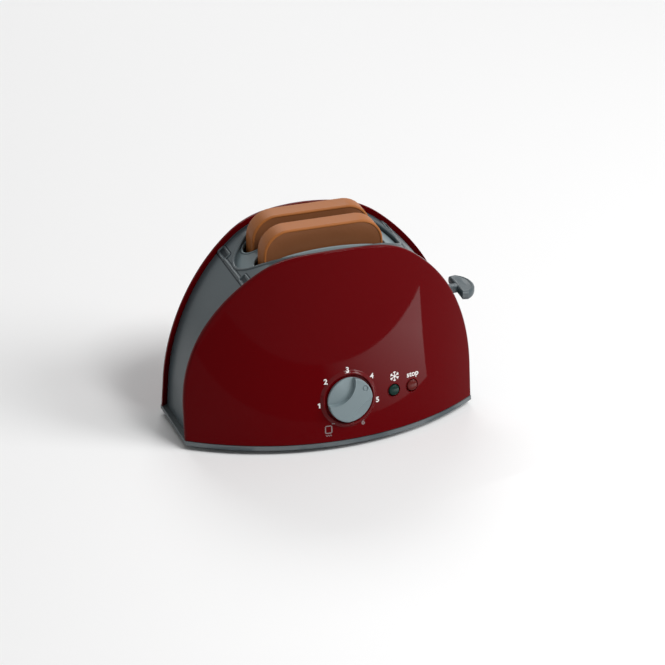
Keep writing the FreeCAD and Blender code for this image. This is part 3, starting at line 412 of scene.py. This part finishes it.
def arch_height(x, inset):
    """Height of the inset arch over x, read off whichever of its three arcs lies there."""
    side, shoulder, crown = arch_centres()
    x = np.abs(x)
    crown_end = crown[0] + (CROWN_R - inset) * (shoulder - crown)[0] / np.linalg.norm(shoulder - crown)
    shoulder_end = side[0] + (SIDE_R - inset) * (shoulder - side)[0] / np.linalg.norm(shoulder - side)
    high, middle, low = [mid[1] + np.sqrt(np.maximum((r - inset) ** 2 - (x - mid[0]) ** 2, 0))
                         for mid, r in ((crown, CROWN_R), (shoulder, SHOULDER_R), (side, SIDE_R))]
    return np.where(x < crown_end, high, np.where(x < shoulder_end, middle, low))


body_band = band()
# the neck's height and its travel, with half the slot's width to spare at both ends
lever_opening = stadium(NECK_TALL + TRAVEL + LEVER_SLOT, LEVER_SLOT, (0, LEVER_Z - TRAVEL / 2), along=1)
carve(body_band, prism("deck_cutter", ellipse(DECK_A, DECK_B), 60, 140, 2),
      prism("slot_cutter", lever_opening, 80, 110, 0))


def rib(name, outline, inset, size, lift, closed=True, flat=False):
    """A round rib, or a flat strip, along a line of (x, y) points laid on the inset arch.

    Its section stands in the plane of the arch's normal and of the sideways direction, which is across both the
    line's way and that normal. A rib's section is a circle, and a strip's is a low wedge of that half width.
    """
    x, y = outline.T
    spot = np.stack([x, y, arch_height(x, inset)], -1)
    slope = (arch_height(x + 0.05, inset) - arch_height(x - 0.05, inset)) / 0.1
    up = np.stack([-slope, 0 * x, 1 + 0 * x], -1)
    up = up / np.linalg.norm(up, axis=1)[:, None]
    way = np.roll(spot, -1, 0) - np.roll(spot, 1, 0) if closed else np.gradient(spot, axis=0)
    side = np.cross(way, up)
    side = side / np.linalg.norm(side, axis=1)[:, None]
    bend = np.linspace(0, 2 * math.pi, 4 if flat else 12, endpoint=False)
    tall = 0.06 if flat else size
    return tube(name, spot + up * lift, size * np.cos(bend), tall * np.sin(bend), (side, up), closed)


oval = ellipse(DECK_A + 0.7, DECK_B + 0.7)
deck_rim = rib("deck_rim", oval, LIP, 1.0, -0.3)


def rack():
    """The moulded rack: a rounded bar across each end, a frame at each corner, and beside them dark flat strips that
    paint the shade of its grooves.
    """
    ribs, shade_strips = [], []
    flush = 0.03  # how far a dark strip of painted groove shade stands over the band

    def add(kind, line, size, lift, closed=False):
        """One rib, or one dark strip of painted shade in place of a cut groove."""
        made = ribs if kind == "rib" else shade_strips
        made.append(rib(f"rack_{kind}_{len(made)}", line, LIP, size, lift, closed, kind == "groove"))

    for bar_x, outer in zip(BAR_X, (-1, 1)):
        y = np.linspace(-BAR_LENGTH / 2, BAR_LENGTH / 2, 40)
        for kind, off, size, lift in (("rib", 0.0, 0.9, -0.15), ("groove", outer * 1.35, 0.4, flush),
                                      ("groove", -outer * 1.2, 0.25, flush)):
            add(kind, np.stack([np.full(40, bar_x + off), y], -1), size, lift)
        frame_x = bar_x - outer * 1.4
        for frame_y in (-FRAME_Y, FRAME_Y):
            add("rib", dense(round_box(1.9, 6.2, 1.1, (frame_x, frame_y)), 0.4), 0.55, 0.15, True)
            add("groove", dense(round_box(2.75, 7.0, 1.7, (frame_x, frame_y)), 0.4), 0.3, flush, True)
            inside = np.linspace(frame_y - 5.2, frame_y + 5.2, 20)
            add("groove", np.stack([np.full(20, frame_x), inside], -1), 1.3, flush)
    x = np.linspace(-52.0, 50.0, 160)
    edge = edge_y(np.stack([x, arch_height(x, LIP)], -1), PANEL_WALL + SEAM)
    for side in (-1, 1):
        for off in (1.5, 2.5):
            add("groove", np.stack([x, side * (edge - off)], -1), 0.2, flush)
    return join("rack_ribs", *ribs), join("rack_painted_groove_shade", *shade_strips)


DECK_INSET = LIP + BAND_WALL + SEAM


def deck():
    """The oval deck: ellipses from the middle to the flange and back below it, on the arch drawn in by two insets."""
    wall, flange, least = 2.0, 2.9, 0.004
    turn = np.linspace(0, 2 * math.pi, 200, endpoint=False)
    rows = []
    for inset, shares in ((DECK_INSET, np.linspace(least, 1, 60)), (DECK_INSET + wall, np.linspace(1, least, 60))):
        x = DECK_X + (DECK_A + flange) * shares[:, None] * np.cos(turn)
        y = (DECK_B + flange) * shares[:, None] * np.sin(turn)
        rows.append(np.stack([x, y, arch_height(x, inset)], -1))
    return skin("deck", np.concatenate(rows))


rack_ribs, rack_painted_groove_shade = rack()
body_deck = deck()
slots = [stadium(SLOT_LENGTH, SLOT_WIDTH, (WELL_X, y)) for y in (-SLOT_Y, SLOT_Y)]
carve(body_deck, *[prism("toast_slot", outline, 60, 140, 2) for outline in slots])

slot_lips = []
for number, y in enumerate((-SLOT_Y, SLOT_Y)):
    path = dense(stadium(SLOT_LENGTH + 1.2, SLOT_WIDTH + 1.2, (WELL_X, y)))
    slot_lips.append(rib(f"slot_lip_{number}", path, DECK_INSET, 0.7, -0.1))


# ---- Dial ----


def face_lathe(name, u, v, radius, height, count, shape=None):
    """A profile of radii and heights turned about an axis square to the face; shape may change each height."""
    turn = np.linspace(0, 2 * math.pi, count, endpoint=False)
    x = np.asarray(radius)[:, None] * np.cos(turn)
    y = np.asarray(radius)[:, None] * np.sin(turn)
    w = np.asarray(height)[:, None] + 0 * x
    if shape:
        w = shape(x, y, w)
    return skin(name, on_face(u + x, v + y, w))


POINTER, POINTER_AT = math.radians(35), 11.4
KNOB_FACE_R, KNOB_ROUND = KNOB_R - 0.3, 0.7
# the face's top, its edge's foot, the height under which the scoops leave the side as it is, and its lower end
KNOB_TOP, KNOB_EDGE, KNOB_SIDE, KNOB_FOOT = 4.2, 3.5, 3.3, 0.7
# each scoop lies behind an arc: direction, distance and radius of the arc, first drop, further drop per millimetre,
# and the height of the bead on the arc; and the drop that no point goes beyond
SCOOPS, DEEPEST = ((132.7, 1.6, 14.0, 2.9, -0.13, 0.22), (-47, 7.6, 29.5, 0.6, 0.2, 0.0)), 2.9


def knob_shape(x, y, w):
    """The knob's top: a deep scoop behind a beaded arc, a facet behind a flatter arc, and a ring mark between them.

    A point inside an arc's circle drops by a smooth step plus a share of its distance from the arc.
    """
    drop = np.zeros_like(x)
    bead = np.zeros_like(x)
    for angle, edge, radius, depth, fall, rise in SCOOPS:
        a = math.radians(angle)
        cx, cy = (edge + radius) * math.cos(a), (edge + radius) * math.sin(a)
        inside = radius - np.hypot(x - cx, y - cy)
        drop = np.maximum(drop, depth * soft_step(inside / 0.7) + fall * np.maximum(inside, 0))
        bead += rise * (1 - soft_step(np.abs(inside) / 0.5))
    mark = np.hypot(x - POINTER_AT * math.cos(POINTER), y - POINTER_AT * math.sin(POINTER))
    groove = 0.5 * (1 - soft_step((np.abs(mark - 1.5) - 0.18) / 0.22))
    return np.where(w > KNOB_SIDE, w - np.minimum(drop, DEEPEST) - groove + bead, w)


def timer_knob():
    """The knob: a flat top shaped by its scoops, a round edge, an upright side and a chamfer below."""
    bend = np.linspace(0, math.pi / 2, 7)[1:]
    flat = KNOB_FACE_R - KNOB_ROUND
    radius = np.concatenate([np.linspace(TINY, flat, 150), flat + KNOB_ROUND * np.sin(bend),
                             [KNOB_FACE_R, KNOB_FACE_R - 0.3, TINY]])
    height = np.concatenate([np.full(150, KNOB_TOP), KNOB_EDGE + KNOB_ROUND * np.cos(bend),
                             [KNOB_FOOT, KNOB_FOOT - 0.3, KNOB_FOOT - 0.3]])
    return face_lathe("knob", DIAL_X, DIAL_V, radius, height, 300, knob_shape)


knob = timer_knob()


# ---- Buttons ----


def button(name, u):
    """A button: its cap with a softly domed top and a round edge, the body below, the flange and the stem.

    Its heights are over the panel at its middle, and its flange lies just behind the panel.
    """
    cap, body, flange, stem, flat, round_r = 3.4, 3.75, 5.15, 1.5, 2.5, 0.85
    level = float(barrel(u))
    low = float(barrel(u + flange)) - PANEL_WALL - 0.4 - level
    foot = -BRACKET_DEPTH - 1.6 - level
    bend = np.linspace(0, math.pi / 2, 8)[1:]
    dome = np.linspace(0.4, flat, 10)
    r = [TINY, *dome, *(flat + round_r * np.sin(bend)), cap, body, body, flange, flange, stem, stem, TINY]
    h = [0.8, *(0.8 - 0.22 * (dome / flat) ** 2), *(-0.27 + round_r * np.cos(bend)), -0.9, -1.1,
         low, low, low - 1, low - 1, foot, foot]
    return face_lathe(name, u, BUTTON_V, r, np.array(h) + level, 72)


caps = {name: button(name + "_cap", u) for name, u in BUTTONS.items()}


# ---- Lever ----


def paddle():
    """The lever's paddle: a tongue whose outline is a straight inner side and an arc, with round edges.

    Rows of its outline, shrunk towards the middle, run over the underside, the edge and the dished top.
    """
    left, tip, half, arc = HALF_WIDTH - LIP + 0.8, 103.0, 13.0, 14.5
    turn = np.linspace(-1, 1, 61) * math.asin(half / arc)
    curve = np.stack([tip - arc + arc * np.cos(turn), arc * np.sin(turn)], -1)
    inner = np.stack([np.full(30, left), np.linspace(half, -half, 32)[1:-1]], -1)
    outline = np.concatenate([curve, inner])
    middle = np.array([(left + tip) / 2 + 0.5, 0.0])
    rows = []
    r, thick = 2.2, 3.0  # the edge's rounding and half the tongue's thickness

    def level(shrink, height, dish=0.0):
        """One row: the outline shrunk, at a height less the dish."""
        ray = outline - middle
        size = np.linalg.norm(ray, axis=1)[:, None]
        xy = middle + ray * np.clip((size - shrink) / size, 0.02, 1)
        near = np.linalg.norm((xy - middle) / [5.5, 13.0], axis=1)
        z = height - dish * (1 - soft_step(near))
        rows.append(np.stack([xy[:, 0], xy[:, 1], z], -1))

    reach = np.linalg.norm(outline - middle, axis=1).max()
    for shrink in np.linspace(reach, r, 16):
        level(shrink, LEVER_Z - thick)
    for t in np.linspace(0, math.pi / 2, 7)[1:]:
        level(r * (1 - math.sin(t)), LEVER_Z - thick + r * (1 - math.cos(t)))
    for t in np.linspace(0, math.pi / 2, 7):
        level(r * (1 - math.cos(t)), LEVER_Z + thick - r + r * math.sin(t))
    for shrink in np.linspace(r, reach, 24)[1:]:
        level(shrink, LEVER_Z + thick, 0.9)
    return skin("paddle", rows)


def neck():
    """The lever's neck: a bar from the carriage to the paddle, its section a circle squared by a power."""
    square = 0.35
    turn = np.linspace(0, 2 * math.pi, 32, endpoint=False)
    y = NECK_WIDE / 2 * np.sign(np.cos(turn)) * np.abs(np.cos(turn)) ** square
    z = NECK_TALL / 2 * np.sign(np.sin(turn)) * np.abs(np.sin(turn)) ** square
    x = np.linspace(57.1, 93.5, 12)
    return skin("neck", np.stack(np.broadcast_arrays(x[:, None], y[None, :], LEVER_Z + z[None, :]), -1))


lever = join("lever", paddle(), neck())


# ---- Toasts ----


def slice_outline(inset, count=24):
    """A slice's outline about its foot's middle, drawn in: a rectangle with round corners, larger above."""
    w, h, low, high = TOAST_WIDTH, TOAST_HEIGHT, 6.0, 16.0
    corners = ((w / 2 - low, low, low, -90), (w / 2 - high, h - high, high, 0),
               (-w / 2 + high, h - high, high, 90), (-w / 2 + low, low, low, 180))
    points = []
    for cx, cz, r, start in corners:
        a = np.radians(start + np.linspace(0, 90, count))
        points.append(np.stack([cx + (r - inset) * np.cos(a), cz + (r - inset) * np.sin(a)], -1))
    return np.concatenate(points)


def crust(name, y):
    """The crust: the slice's outline carried with a rounded section, full at the rim and soft at its edges."""
    half, wide, r = TOAST_THICKNESS / 2, 2.4, 1.1
    bend = np.linspace(0, math.pi / 2, 7)
    inset = np.concatenate([r * (1 - np.cos(bend)), [1.35, wide]])
    depth = np.concatenate([half - r + r * np.sin(bend), [half - 0.1, half - 1.0]])
    inset = np.concatenate([inset[::-1], inset])
    depth = np.concatenate([-depth[::-1], depth])
    rows = []
    for i, d in zip(inset, depth):
        xz = slice_outline(i)
        rows.append(np.stack([WELL_X + xz[:, 0], np.full(len(xz), y + d), TOAST_FOOT + xz[:, 1]], -1))
    return skin(name, rows, True)


def crumb(name, y):
    """The crumb: the outline shrunk in steps about its middle on both sides, with a slightly pillowed face."""
    rows = []
    middle = np.array([0.0, TOAST_HEIGHT / 2])
    outline = slice_outline(1.3)
    shares = np.linspace(0.02, 1, 16)
    for side, steps in ((-1, shares), (1, shares[::-1])):
        for share in steps:
            xz = middle + (outline - middle) * share
            depth = y + side * (5.6 + 0.3 * (1 - share**10))
            rows.append(np.stack([WELL_X + xz[:, 0], np.full(len(xz), depth), TOAST_FOOT + xz[:, 1]], -1))
    return skin(name, rows)


slices = {}
for which, y in (("front", -SLOT_Y), ("rear", SLOT_Y)):
    slices[which] = (crust(which + "_crust", y), crumb(which + "_crumb", y))


# ---- Printed marks ----


def points_of(mesh):
    """A mesh's points as rows of three."""
    values = np.empty(len(mesh.vertices) * 3)
    mesh.vertices.foreach_get("co", values)
    return values.reshape(-1, 3)


def print_on_face(obj, u, v, lift=0.06):
    """Lay a flat piece drawn in millimetres on the front face or on the dial's ring, its middle at (u, v)."""
    mesh = obj.data
    flat = points_of(mesh)
    x, y = u + flat[:, 0], v + flat[:, 1]
    over_panel = np.maximum(ring_height(np.hypot(x - DIAL_X, y - DIAL_V)), 0)
    place = (on_face(x, y, barrel(x) + over_panel + lift) + SHIFT) * MM
    mesh.vertices.foreach_set("co", place.ravel())
    mesh.update()
    return obj


def words(name, text, size, bold):
    """A text as a flat mesh about its own middle, in millimetres."""
    curve = bpy.data.curves.new(name, "FONT")
    curve.body = text
    curve.size = size
    curve.offset = bold
    curve.resolution_u = 6
    holder = linked(name + "_text", curve)
    graph = bpy.context.evaluated_depsgraph_get()
    mesh = bpy.data.meshes.new_from_object(holder.evaluated_get(graph))
    bpy.data.objects.remove(holder)
    flat = points_of(mesh)
    flat[:, :2] -= (flat[:, :2].max(0) + flat[:, :2].min(0)) / 2
    mesh.vertices.foreach_set("co", flat.ravel())
    return linked(name, mesh)


def bars(name, lines, width):
    """Flat strokes of one width between pairs of points, in millimetres."""
    points, faces = [], []
    for (x0, y0), (x1, y1) in lines:
        a, b = np.array([x0, y0, 0.0]), np.array([x1, y1, 0.0])
        way = (b - a) / np.linalg.norm(b - a)
        side = np.array([-way[1], way[0], 0]) * width / 2
        count = len(points)
        points += [a - side, b - side, b + side, a + side]
        faces.append((count, count + 1, count + 2, count + 3))
    mesh = bpy.data.meshes.new(name)
    mesh.from_pydata([tuple(p) for p in points], [], faces)
    return linked(name, mesh)


def snowflake_lines():
    """Six arms from the middle, each forked near its tip."""
    lines = []
    for k in range(6):
        a = math.radians(60 * k + 30)
        way = np.array([math.cos(a), math.sin(a)])
        lines.append(((0, 0), tuple(3.2 * way)))
        for turn in (-1, 1):
            b = a + turn * math.radians(40)
            start = 1.9 * way
            lines.append((tuple(start), tuple(start + 1.3 * np.array([math.cos(b), math.sin(b)]))))
    return lines


def wave_lines():
    """A short wavy stroke of a few straight runs."""
    x = np.linspace(-1.9, 1.9, 6)
    y = 0.45 * np.array([1, -1, 1, -1, 1, -1])
    return [((x[k], y[k]), (x[k + 1], y[k + 1])) for k in range(5)]


def loop_lines(outline):
    """A closed outline as runs between neighbours."""
    return list(zip(outline, np.roll(outline, -1, 0)))


def about_dial(distance, degrees):
    """A spot on the face, sideways and up, by its distance from the dial's middle and its direction."""
    a = math.radians(degrees)
    return DIAL_X + distance * math.cos(a), DIAL_V + distance * math.sin(a)


ONE = (((0.1, -1.65), (0.1, 1.65)), ((0.1, 1.2), (-0.95, 0.6)))
DIGIT_R, DIGIT_SIZE, SLICE_R = 19.5, 4.6, 23.2

# the 6 and the slice marks are printed darker: painted shade over the same white print
marks, marks_in_painted_shade = [], []
# each digit, its direction from the dial and how far it stands off that circle
for text, degrees, off_u, off_v in (("1", 186, 0.5, 0), ("2", 138, 0, 0), ("3", 91, 0, -0.65), ("4", 42, 1.2, -1.0),
                                    ("5", -12, 0, 0), ("6", -63, 0, 0.6)):
    digit = bars("mark_1", ONE, 0.85) if text == "1" else words("mark_" + text, text, DIGIT_SIZE, 0.14)
    u, v = about_dial(DIGIT_R, degrees)
    (marks_in_painted_shade if text == "6" else marks).append(print_on_face(digit, u + off_u, v + off_v))
marks.append(print_on_face(words("mark_stop", "stop", 4.9, 0.09), 47.0, 39.3))
marks.append(print_on_face(bars("mark_cold", snowflake_lines(), 0.5), 33.9, 41.4))
# the slice with its wave below and its dash beside it, in the darker ink that paints their shade
slice_u, slice_v = about_dial(SLICE_R, -128)
for name, lines, width, off_u, off_v in (
        ("mark_slice", loop_lines(round_box(2.0, 2.3, 0.7)), 0.7, 0.6, 0),
        ("mark_wave", wave_lines(), 0.4, 0.6, -3.9),
        ("mark_dash", [((-0.9, 0), (0.9, 0))], 0.8, 3.6, 3.6)):
    marks_in_painted_shade.append(print_on_face(bars(name, lines, width), slice_u + off_u, slice_v + off_v))


# ---- Materials ----


def colour(r, g, b):
    """A screen colour of 0 to 255 as the linear colour that shaders take."""
    c = np.array([r, g, b]) / 255.0
    return (*np.where(c <= 0.04045, c / 12.92, ((c + 0.055) / 1.055) ** 2.4).tolist(), 1.0)


class Board:
    """A material or node group that is wired by short calls."""

    def __init__(self, tree):
        """Take the node tree to wire."""
        self.tree = tree

    def add(self, kind, inputs=None, **settings):
        """A new node with its settings, its inputs fed by name or number."""
        node = self.tree.nodes.new(kind)
        for key, value in settings.items():
            setattr(node, key, value)
        for key, value in (inputs or {}).items():
            self.feed(node.inputs[key], value)
        return node

    def feed(self, socket, value):
        """Link a socket to another, or give it a plain value."""
        if isinstance(value, bpy.types.NodeSocket):
            self.tree.links.new(value, socket)
        else:
            socket.default_value = value


PALE = (0.75, 0.75, 0.75, 1)


def moulded_group():
    """Moulded plastic: slow blotches in tone and gloss, a fine grain bump, and paler edges where it turns sharply."""
    tree = bpy.data.node_groups.new("moulded_finish", "ShaderNodeTree")
    face = tree.interface
    for name, kind, value in (("Colour", "Color", (0.5, 0.5, 0.5, 1)), ("Roughness", "Float", 0.4),
                              ("Tone", "Float", 0.06), ("Grain Size", "Float", 900.0),
                              ("Grain Depth", "Float", 0.05), ("Edge Wear", "Float", 0.1),
                              ("Worn Colour", "Color", PALE)):
        face.new_socket(name, in_out="INPUT", socket_type="NodeSocket" + kind).default_value = value
    for name, kind in (("Colour", "Color"), ("Roughness", "Float"), ("Normal", "Vector")):
        face.new_socket(name, in_out="OUTPUT", socket_type="NodeSocket" + kind)
    board = Board(tree)
    given = board.add("NodeGroupInput").outputs
    place = board.add("ShaderNodeTexCoord").outputs["Object"]
    slow = board.add("ShaderNodeTexNoise", {"Vector": place, "Scale": 45.0, "Detail": 3.0}).outputs["Fac"]
    fine = board.add("ShaderNodeTexNoise",
                     {"Vector": place, "Scale": given["Grain Size"], "Detail": 2.0}).outputs["Fac"]
    off = board.add("ShaderNodeMath", {0: slow, 1: 0.5}, operation="SUBTRACT").outputs[0]
    toned = board.add("ShaderNodeMath", {0: off, 1: given["Tone"]}, operation="MULTIPLY").outputs[0]
    level = board.add("ShaderNodeMath", {0: toned, 1: 1.0}, operation="ADD").outputs[0]
    tinted = board.add("ShaderNodeVectorMath", {0: given["Colour"], "Scale": level}, operation="SCALE").outputs[0]
    point = board.add("ShaderNodeNewGeometry").outputs["Pointiness"]
    edge = board.add("ShaderNodeMapRange", {"Value": point, "From Min": 0.53, "From Max": 0.62}).outputs[0]
    worn = board.add("ShaderNodeMath", {0: edge, 1: given["Edge Wear"]}, operation="MULTIPLY").outputs[0]
    pale = board.add("ShaderNodeMix", {0: worn, 6: tinted, 7: given["Worn Colour"]}, data_type="RGBA")
    rough = board.add("ShaderNodeMath", {0: toned, 1: given["Roughness"]}, operation="ADD").outputs[0]
    bump = board.add("ShaderNodeBump",
                     {"Height": fine, "Strength": given["Grain Depth"], "Distance": 0.0002}).outputs[0]
    board.add("NodeGroupOutput", {"Colour": pale.outputs[2], "Roughness": rough, "Normal": bump})
    return tree


MOULDED = moulded_group()


def plastic(name, tint, rough, tone, grain, depth, wear, metal=0.0, specular=0.5, worn=PALE):
    """A moulded finish on a Principled shader; metal and specular are the shader's own plain values."""
    mat = bpy.data.materials.new(name)
    mat.use_nodes = True
    tree = mat.node_tree
    shader = tree.nodes["Principled BSDF"]
    board = Board(tree)
    finish = board.add("ShaderNodeGroup", node_tree=MOULDED)
    for key, value in (("Colour", tint), ("Roughness", rough), ("Tone", tone), ("Grain Size", grain),
                       ("Grain Depth", depth), ("Edge Wear", wear), ("Worn Colour", worn)):
        finish.inputs[key].default_value = value
    board.feed(shader.inputs["Base Color"], finish.outputs["Colour"])
    board.feed(shader.inputs["Roughness"], finish.outputs["Roughness"])
    board.feed(shader.inputs["Normal"], finish.outputs["Normal"])
    shader.inputs["Metallic"].default_value = metal
    shader.inputs["Specular IOR Level"].default_value = specular
    return mat


SHELL_RED = colour(88, 0, 4)
RED = plastic("glossy_red_shell", SHELL_RED, 0.035, 0.05, 700.0, 0.004, 0.0, specular=0.045)
RED_RING = plastic("glossy_red_ring", SHELL_RED, 0.035, 0.05, 700.0, 0.004, 0.0, specular=0.15)
GREY = plastic("satin_blue_grey", colour(70, 80, 84), 0.34, 0.08, 1100.0, 0.10, 0.10, specular=0.25)
# painted shade: a dark grey laid on flat strips where the rack's grooves would only be in shadow
PAINTED_GROOVE_SHADE = plastic("groove_painted_shade", colour(38, 44, 48), 0.5, 0.08, 1100.0, 0.10, 0.0, specular=0.1)
LIGHT = plastic("light_blue_grey", colour(115, 129, 133), 0.36, 0.05, 1300.0, 0.08, 0.0, specular=0.25)
GREEN = plastic("dark_green_cap", colour(10, 42, 36), 0.1, 0.05, 900.0, 0.02, 0.05, specular=0.15)
RUBY = plastic("dark_red_cap", colour(88, 22, 18), 0.1, 0.05, 900.0, 0.02, 0.05, specular=0.15)
TAN = plastic("crust_tan", colour(152, 92, 46), 0.42, 0.20, 500.0, 0.20, 0.55, specular=0.12,
              worn=colour(222, 146, 82))
BROWN = plastic("crumb_brown", colour(120, 76, 48), 0.34, 0.22, 420.0, 0.30, 0.0, specular=0.18)
BLACK = plastic("inner_black", colour(34, 34, 36), 0.55, 0.15, 800.0, 0.15, 0.12)
NATURAL = plastic("gear_white", colour(206, 202, 190), 0.42, 0.06, 900.0, 0.06, 0.05)
STEEL = plastic("drawn_steel", colour(176, 176, 178), 0.26, 0.12, 1500.0, 0.12, 0.1, metal=1.0)
BRASS = plastic("plain_brass", colour(196, 160, 92), 0.30, 0.12, 1200.0, 0.10, 0.1, metal=1.0)
INK = plastic("white_ink", colour(222, 220, 218), 0.5, 0.10, 1500.0, 0.05, 0.0, specular=0.2)
# the white ink darkened: painted shade on the marks that lie in shadow
PAINTED_SHADE_INK = plastic("ink_in_painted_shade", colour(128, 112, 112), 0.5, 0.10, 1500.0, 0.05, 0.0, specular=0.2)


def dress(obj, mat):
    """Give a piece or a node one material in place of its own."""
    obj.data.materials.clear()
    obj.data.materials.append(mat)


def settle(obj, body, mat, nodes=(), angle=38):
    """Finish a piece: shading, material, the body it rides on, and the nodes it stands for."""
    smooth(obj, angle)
    dress(obj, mat)
    if nodes:
        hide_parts(*nodes)
    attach(obj, body)


settle(front, "housing", RED, ("front_shell",))
settle(rear, "housing", RED, ("rear_shell",))
settle(ring, "housing", RED_RING)
for rim in rims:
    settle(rim, "housing", RED)
settle(body_band, "housing", GREY, ("housing_band",))
settle(deck_rim, "housing", GREY)
settle(rack_ribs, "housing", GREY)
# the dark strips paint the grooves' shade on the band
settle(rack_painted_groove_shade, "housing", PAINTED_GROOVE_SHADE)
settle(body_deck, "housing", LIGHT, ("slot_deck",))
for lip in slot_lips:
    settle(lip, "housing", LIGHT)
settle(knob, "dial", LIGHT, ("timer_knob",), 50)
settle(caps["defrost"], "defrost_body", GREEN, ("defrost_button",))
settle(caps["stop"], "stop_body", RUBY, ("stop_button",))
settle(lever, "carriage", GREY, ("lever_paddle",))
for which, (edge, middle) in slices.items():
    settle(edge, which + "_toast", TAN, (which + "_toast_crust",), 50)
    settle(middle, which + "_toast", BROWN, (which + "_toast_crumb",), 50)
for mark in marks:
    settle(mark, "housing", INK)
for mark in marks_in_painted_shade:
    settle(mark, "housing", PAINTED_SHADE_INK)

finishes = {"shell_red": RED, "body_grey": GREY, "light_grey": LIGHT, "button_green": GREEN, "button_red": RUBY,
            "crust": TAN, "crumb": BROWN, "inner_black": BLACK, "mechanism": NATURAL, "steel": STEEL,
            "brass_plate": BRASS}
for part in frame["record"]["subparts"]:
    dress(frame["nodes"][part["node"]], finishes[part["material_slot"]])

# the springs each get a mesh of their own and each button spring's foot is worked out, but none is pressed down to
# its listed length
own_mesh(frame["nodes"]["lift_springs"])
for name, keep in (("defrost", 0.74), ("stop", 0.53)):
    foot = (on_face(BUTTONS[name], BUTTON_V, -16.9) + SHIFT) * MM
    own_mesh(frame["nodes"][name + "_spring"])


# ---- Floor, lights and camera ----


def floor():
    """A wide pale ground that shows white to the camera and keeps the toaster's shadow."""
    size = 6.0
    mesh = bpy.data.meshes.new("floor")
    mesh.from_pydata([(-size, -size, 0), (size, -size, 0), (size, size, 0), (-size, size, 0)], [], [(0, 1, 2, 3)])
    mat = bpy.data.materials.new("pale_floor")
    mat.use_nodes = True
    shader = mat.node_tree.nodes["Principled BSDF"]
    shader.inputs["Base Color"].default_value = (0.86, 0.86, 0.86, 1)
    shader.inputs["Roughness"].default_value = 0.9
    shader.inputs["Specular IOR Level"].default_value = 0.1
    mesh.materials.append(mat)
    linked("floor", mesh)


def world():
    """Even studio light from all round, with white behind the object."""
    made = bpy.data.worlds.new("studio")
    made.use_nodes = True
    board = Board(made.node_tree)
    nodes = made.node_tree.nodes
    nodes.clear()
    path = board.add("ShaderNodeLightPath").outputs
    soft = board.add("ShaderNodeBackground", {"Color": (1, 1, 1, 1), "Strength": 0.26})
    white = board.add("ShaderNodeBackground", {"Color": (1, 1, 1, 1), "Strength": 1.0})
    seen = path["Is Camera Ray"]
    for kind in ("Is Glossy Ray", "Is Transmission Ray"):
        seen = board.add("ShaderNodeMath", {0: seen, 1: path[kind]}, operation="MAXIMUM").outputs[0]
    pick = board.add("ShaderNodeMixShader", {0: seen, 1: soft.outputs[0], 2: white.outputs[0]})
    board.add("ShaderNodeOutputWorld", {0: pick.outputs[0]})
    bpy.context.scene.world = made


def lamp(name, place, target, size, power):
    """A flat lamp of two side lengths in metres, turned to a target, with its power in watts."""
    light = bpy.data.lights.new(name, "AREA")
    light.shape = "RECTANGLE"
    light.size, light.size_y = size
    light.energy = power
    obj = linked(name, light)
    obj.location = place
    obj.rotation_mode = "QUATERNION"
    obj.rotation_quaternion = (Vector(target) - Vector(place)).to_track_quat("-Z", "Y")


def card():
    """A lit card lying in front of the toaster, which only glossy surfaces show; it fades towards the left."""
    corners = [(-0.30, -0.402), (-0.30, -0.214), (0.152, -0.098), (0.355, -0.232)]
    mesh = bpy.data.meshes.new("card")
    mesh.from_pydata([(x, y, 0.0006) for x, y in corners], [], [(3, 2, 1, 0)])
    obj = linked("card", mesh)
    obj.visible_camera = obj.visible_diffuse = obj.visible_shadow = obj.visible_transmission = False
    mat = bpy.data.materials.new("card_light")
    mat.use_nodes = True
    board = Board(mat.node_tree)
    mat.node_tree.nodes.clear()
    place = board.add("ShaderNodeTexCoord").outputs["Object"]
    across = board.add("ShaderNodeSeparateXYZ", {0: place}).outputs[0]
    level = board.add("ShaderNodeMapRange", {"Value": across, "From Min": 0.02, "From Max": 0.25, "To Min": 0.5,
                                             "To Max": 10.0}).outputs[0]
    light = board.add("ShaderNodeEmission", {"Color": (1, 1, 1, 1), "Strength": level})
    board.add("ShaderNodeOutputMaterial", {0: light.outputs[0]})
    mesh.materials.append(mat)


def camera():
    """The camera: its place and its three directions about the toaster's middle."""
    focal, wide, sensor = 3703.8, 665, 36.0  # focal length and render's width in pixels, sensor in millimetres
    turn = -0.02
    c, s = math.cos(turn), math.sin(turn)
    spin = np.array([[c, -s, 0], [s, c, 0], [0, 0, 1]])
    place = spin @ np.array([-660.31, -1923.43, 1109.73]) + SHIFT - [0, 2.2, 0]
    right = spin @ np.array([0.94686, -0.32128, 0.01497])
    down = spin @ np.array([-0.13541, -0.44041, -0.88753])
    ahead = spin @ np.array([0.29174, 0.83834, -0.46052])
    data = bpy.data.cameras.new("camera")
    data.sensor_width = sensor
    data.lens = focal / wide * sensor
    data.clip_start, data.clip_end = 0.05, 50.0
    obj = linked("camera", data)
    turned = np.stack([right, -down, -ahead], 1)
    obj.matrix_world = Matrix.Translation(Vector(place * MM)) @ Matrix(turned.tolist()).to_4x4()
    bpy.context.scene.camera = obj


floor()
world()
lamp("key", (1.5, -1.0, 1.3), (0, 0, 0.06), (0.9, 0.9), 27)
lamp("top", (0.45, -0.80, 1.3), (0, 0, 0.06), (0.42, 0.42), 11)
lamp("back", (0.2, 1.4, 1.3), (0, 0, 0.08), (1.2, 0.6), 12)
card()
camera()
bpy.context.scene.view_settings.view_transform = "Standard"
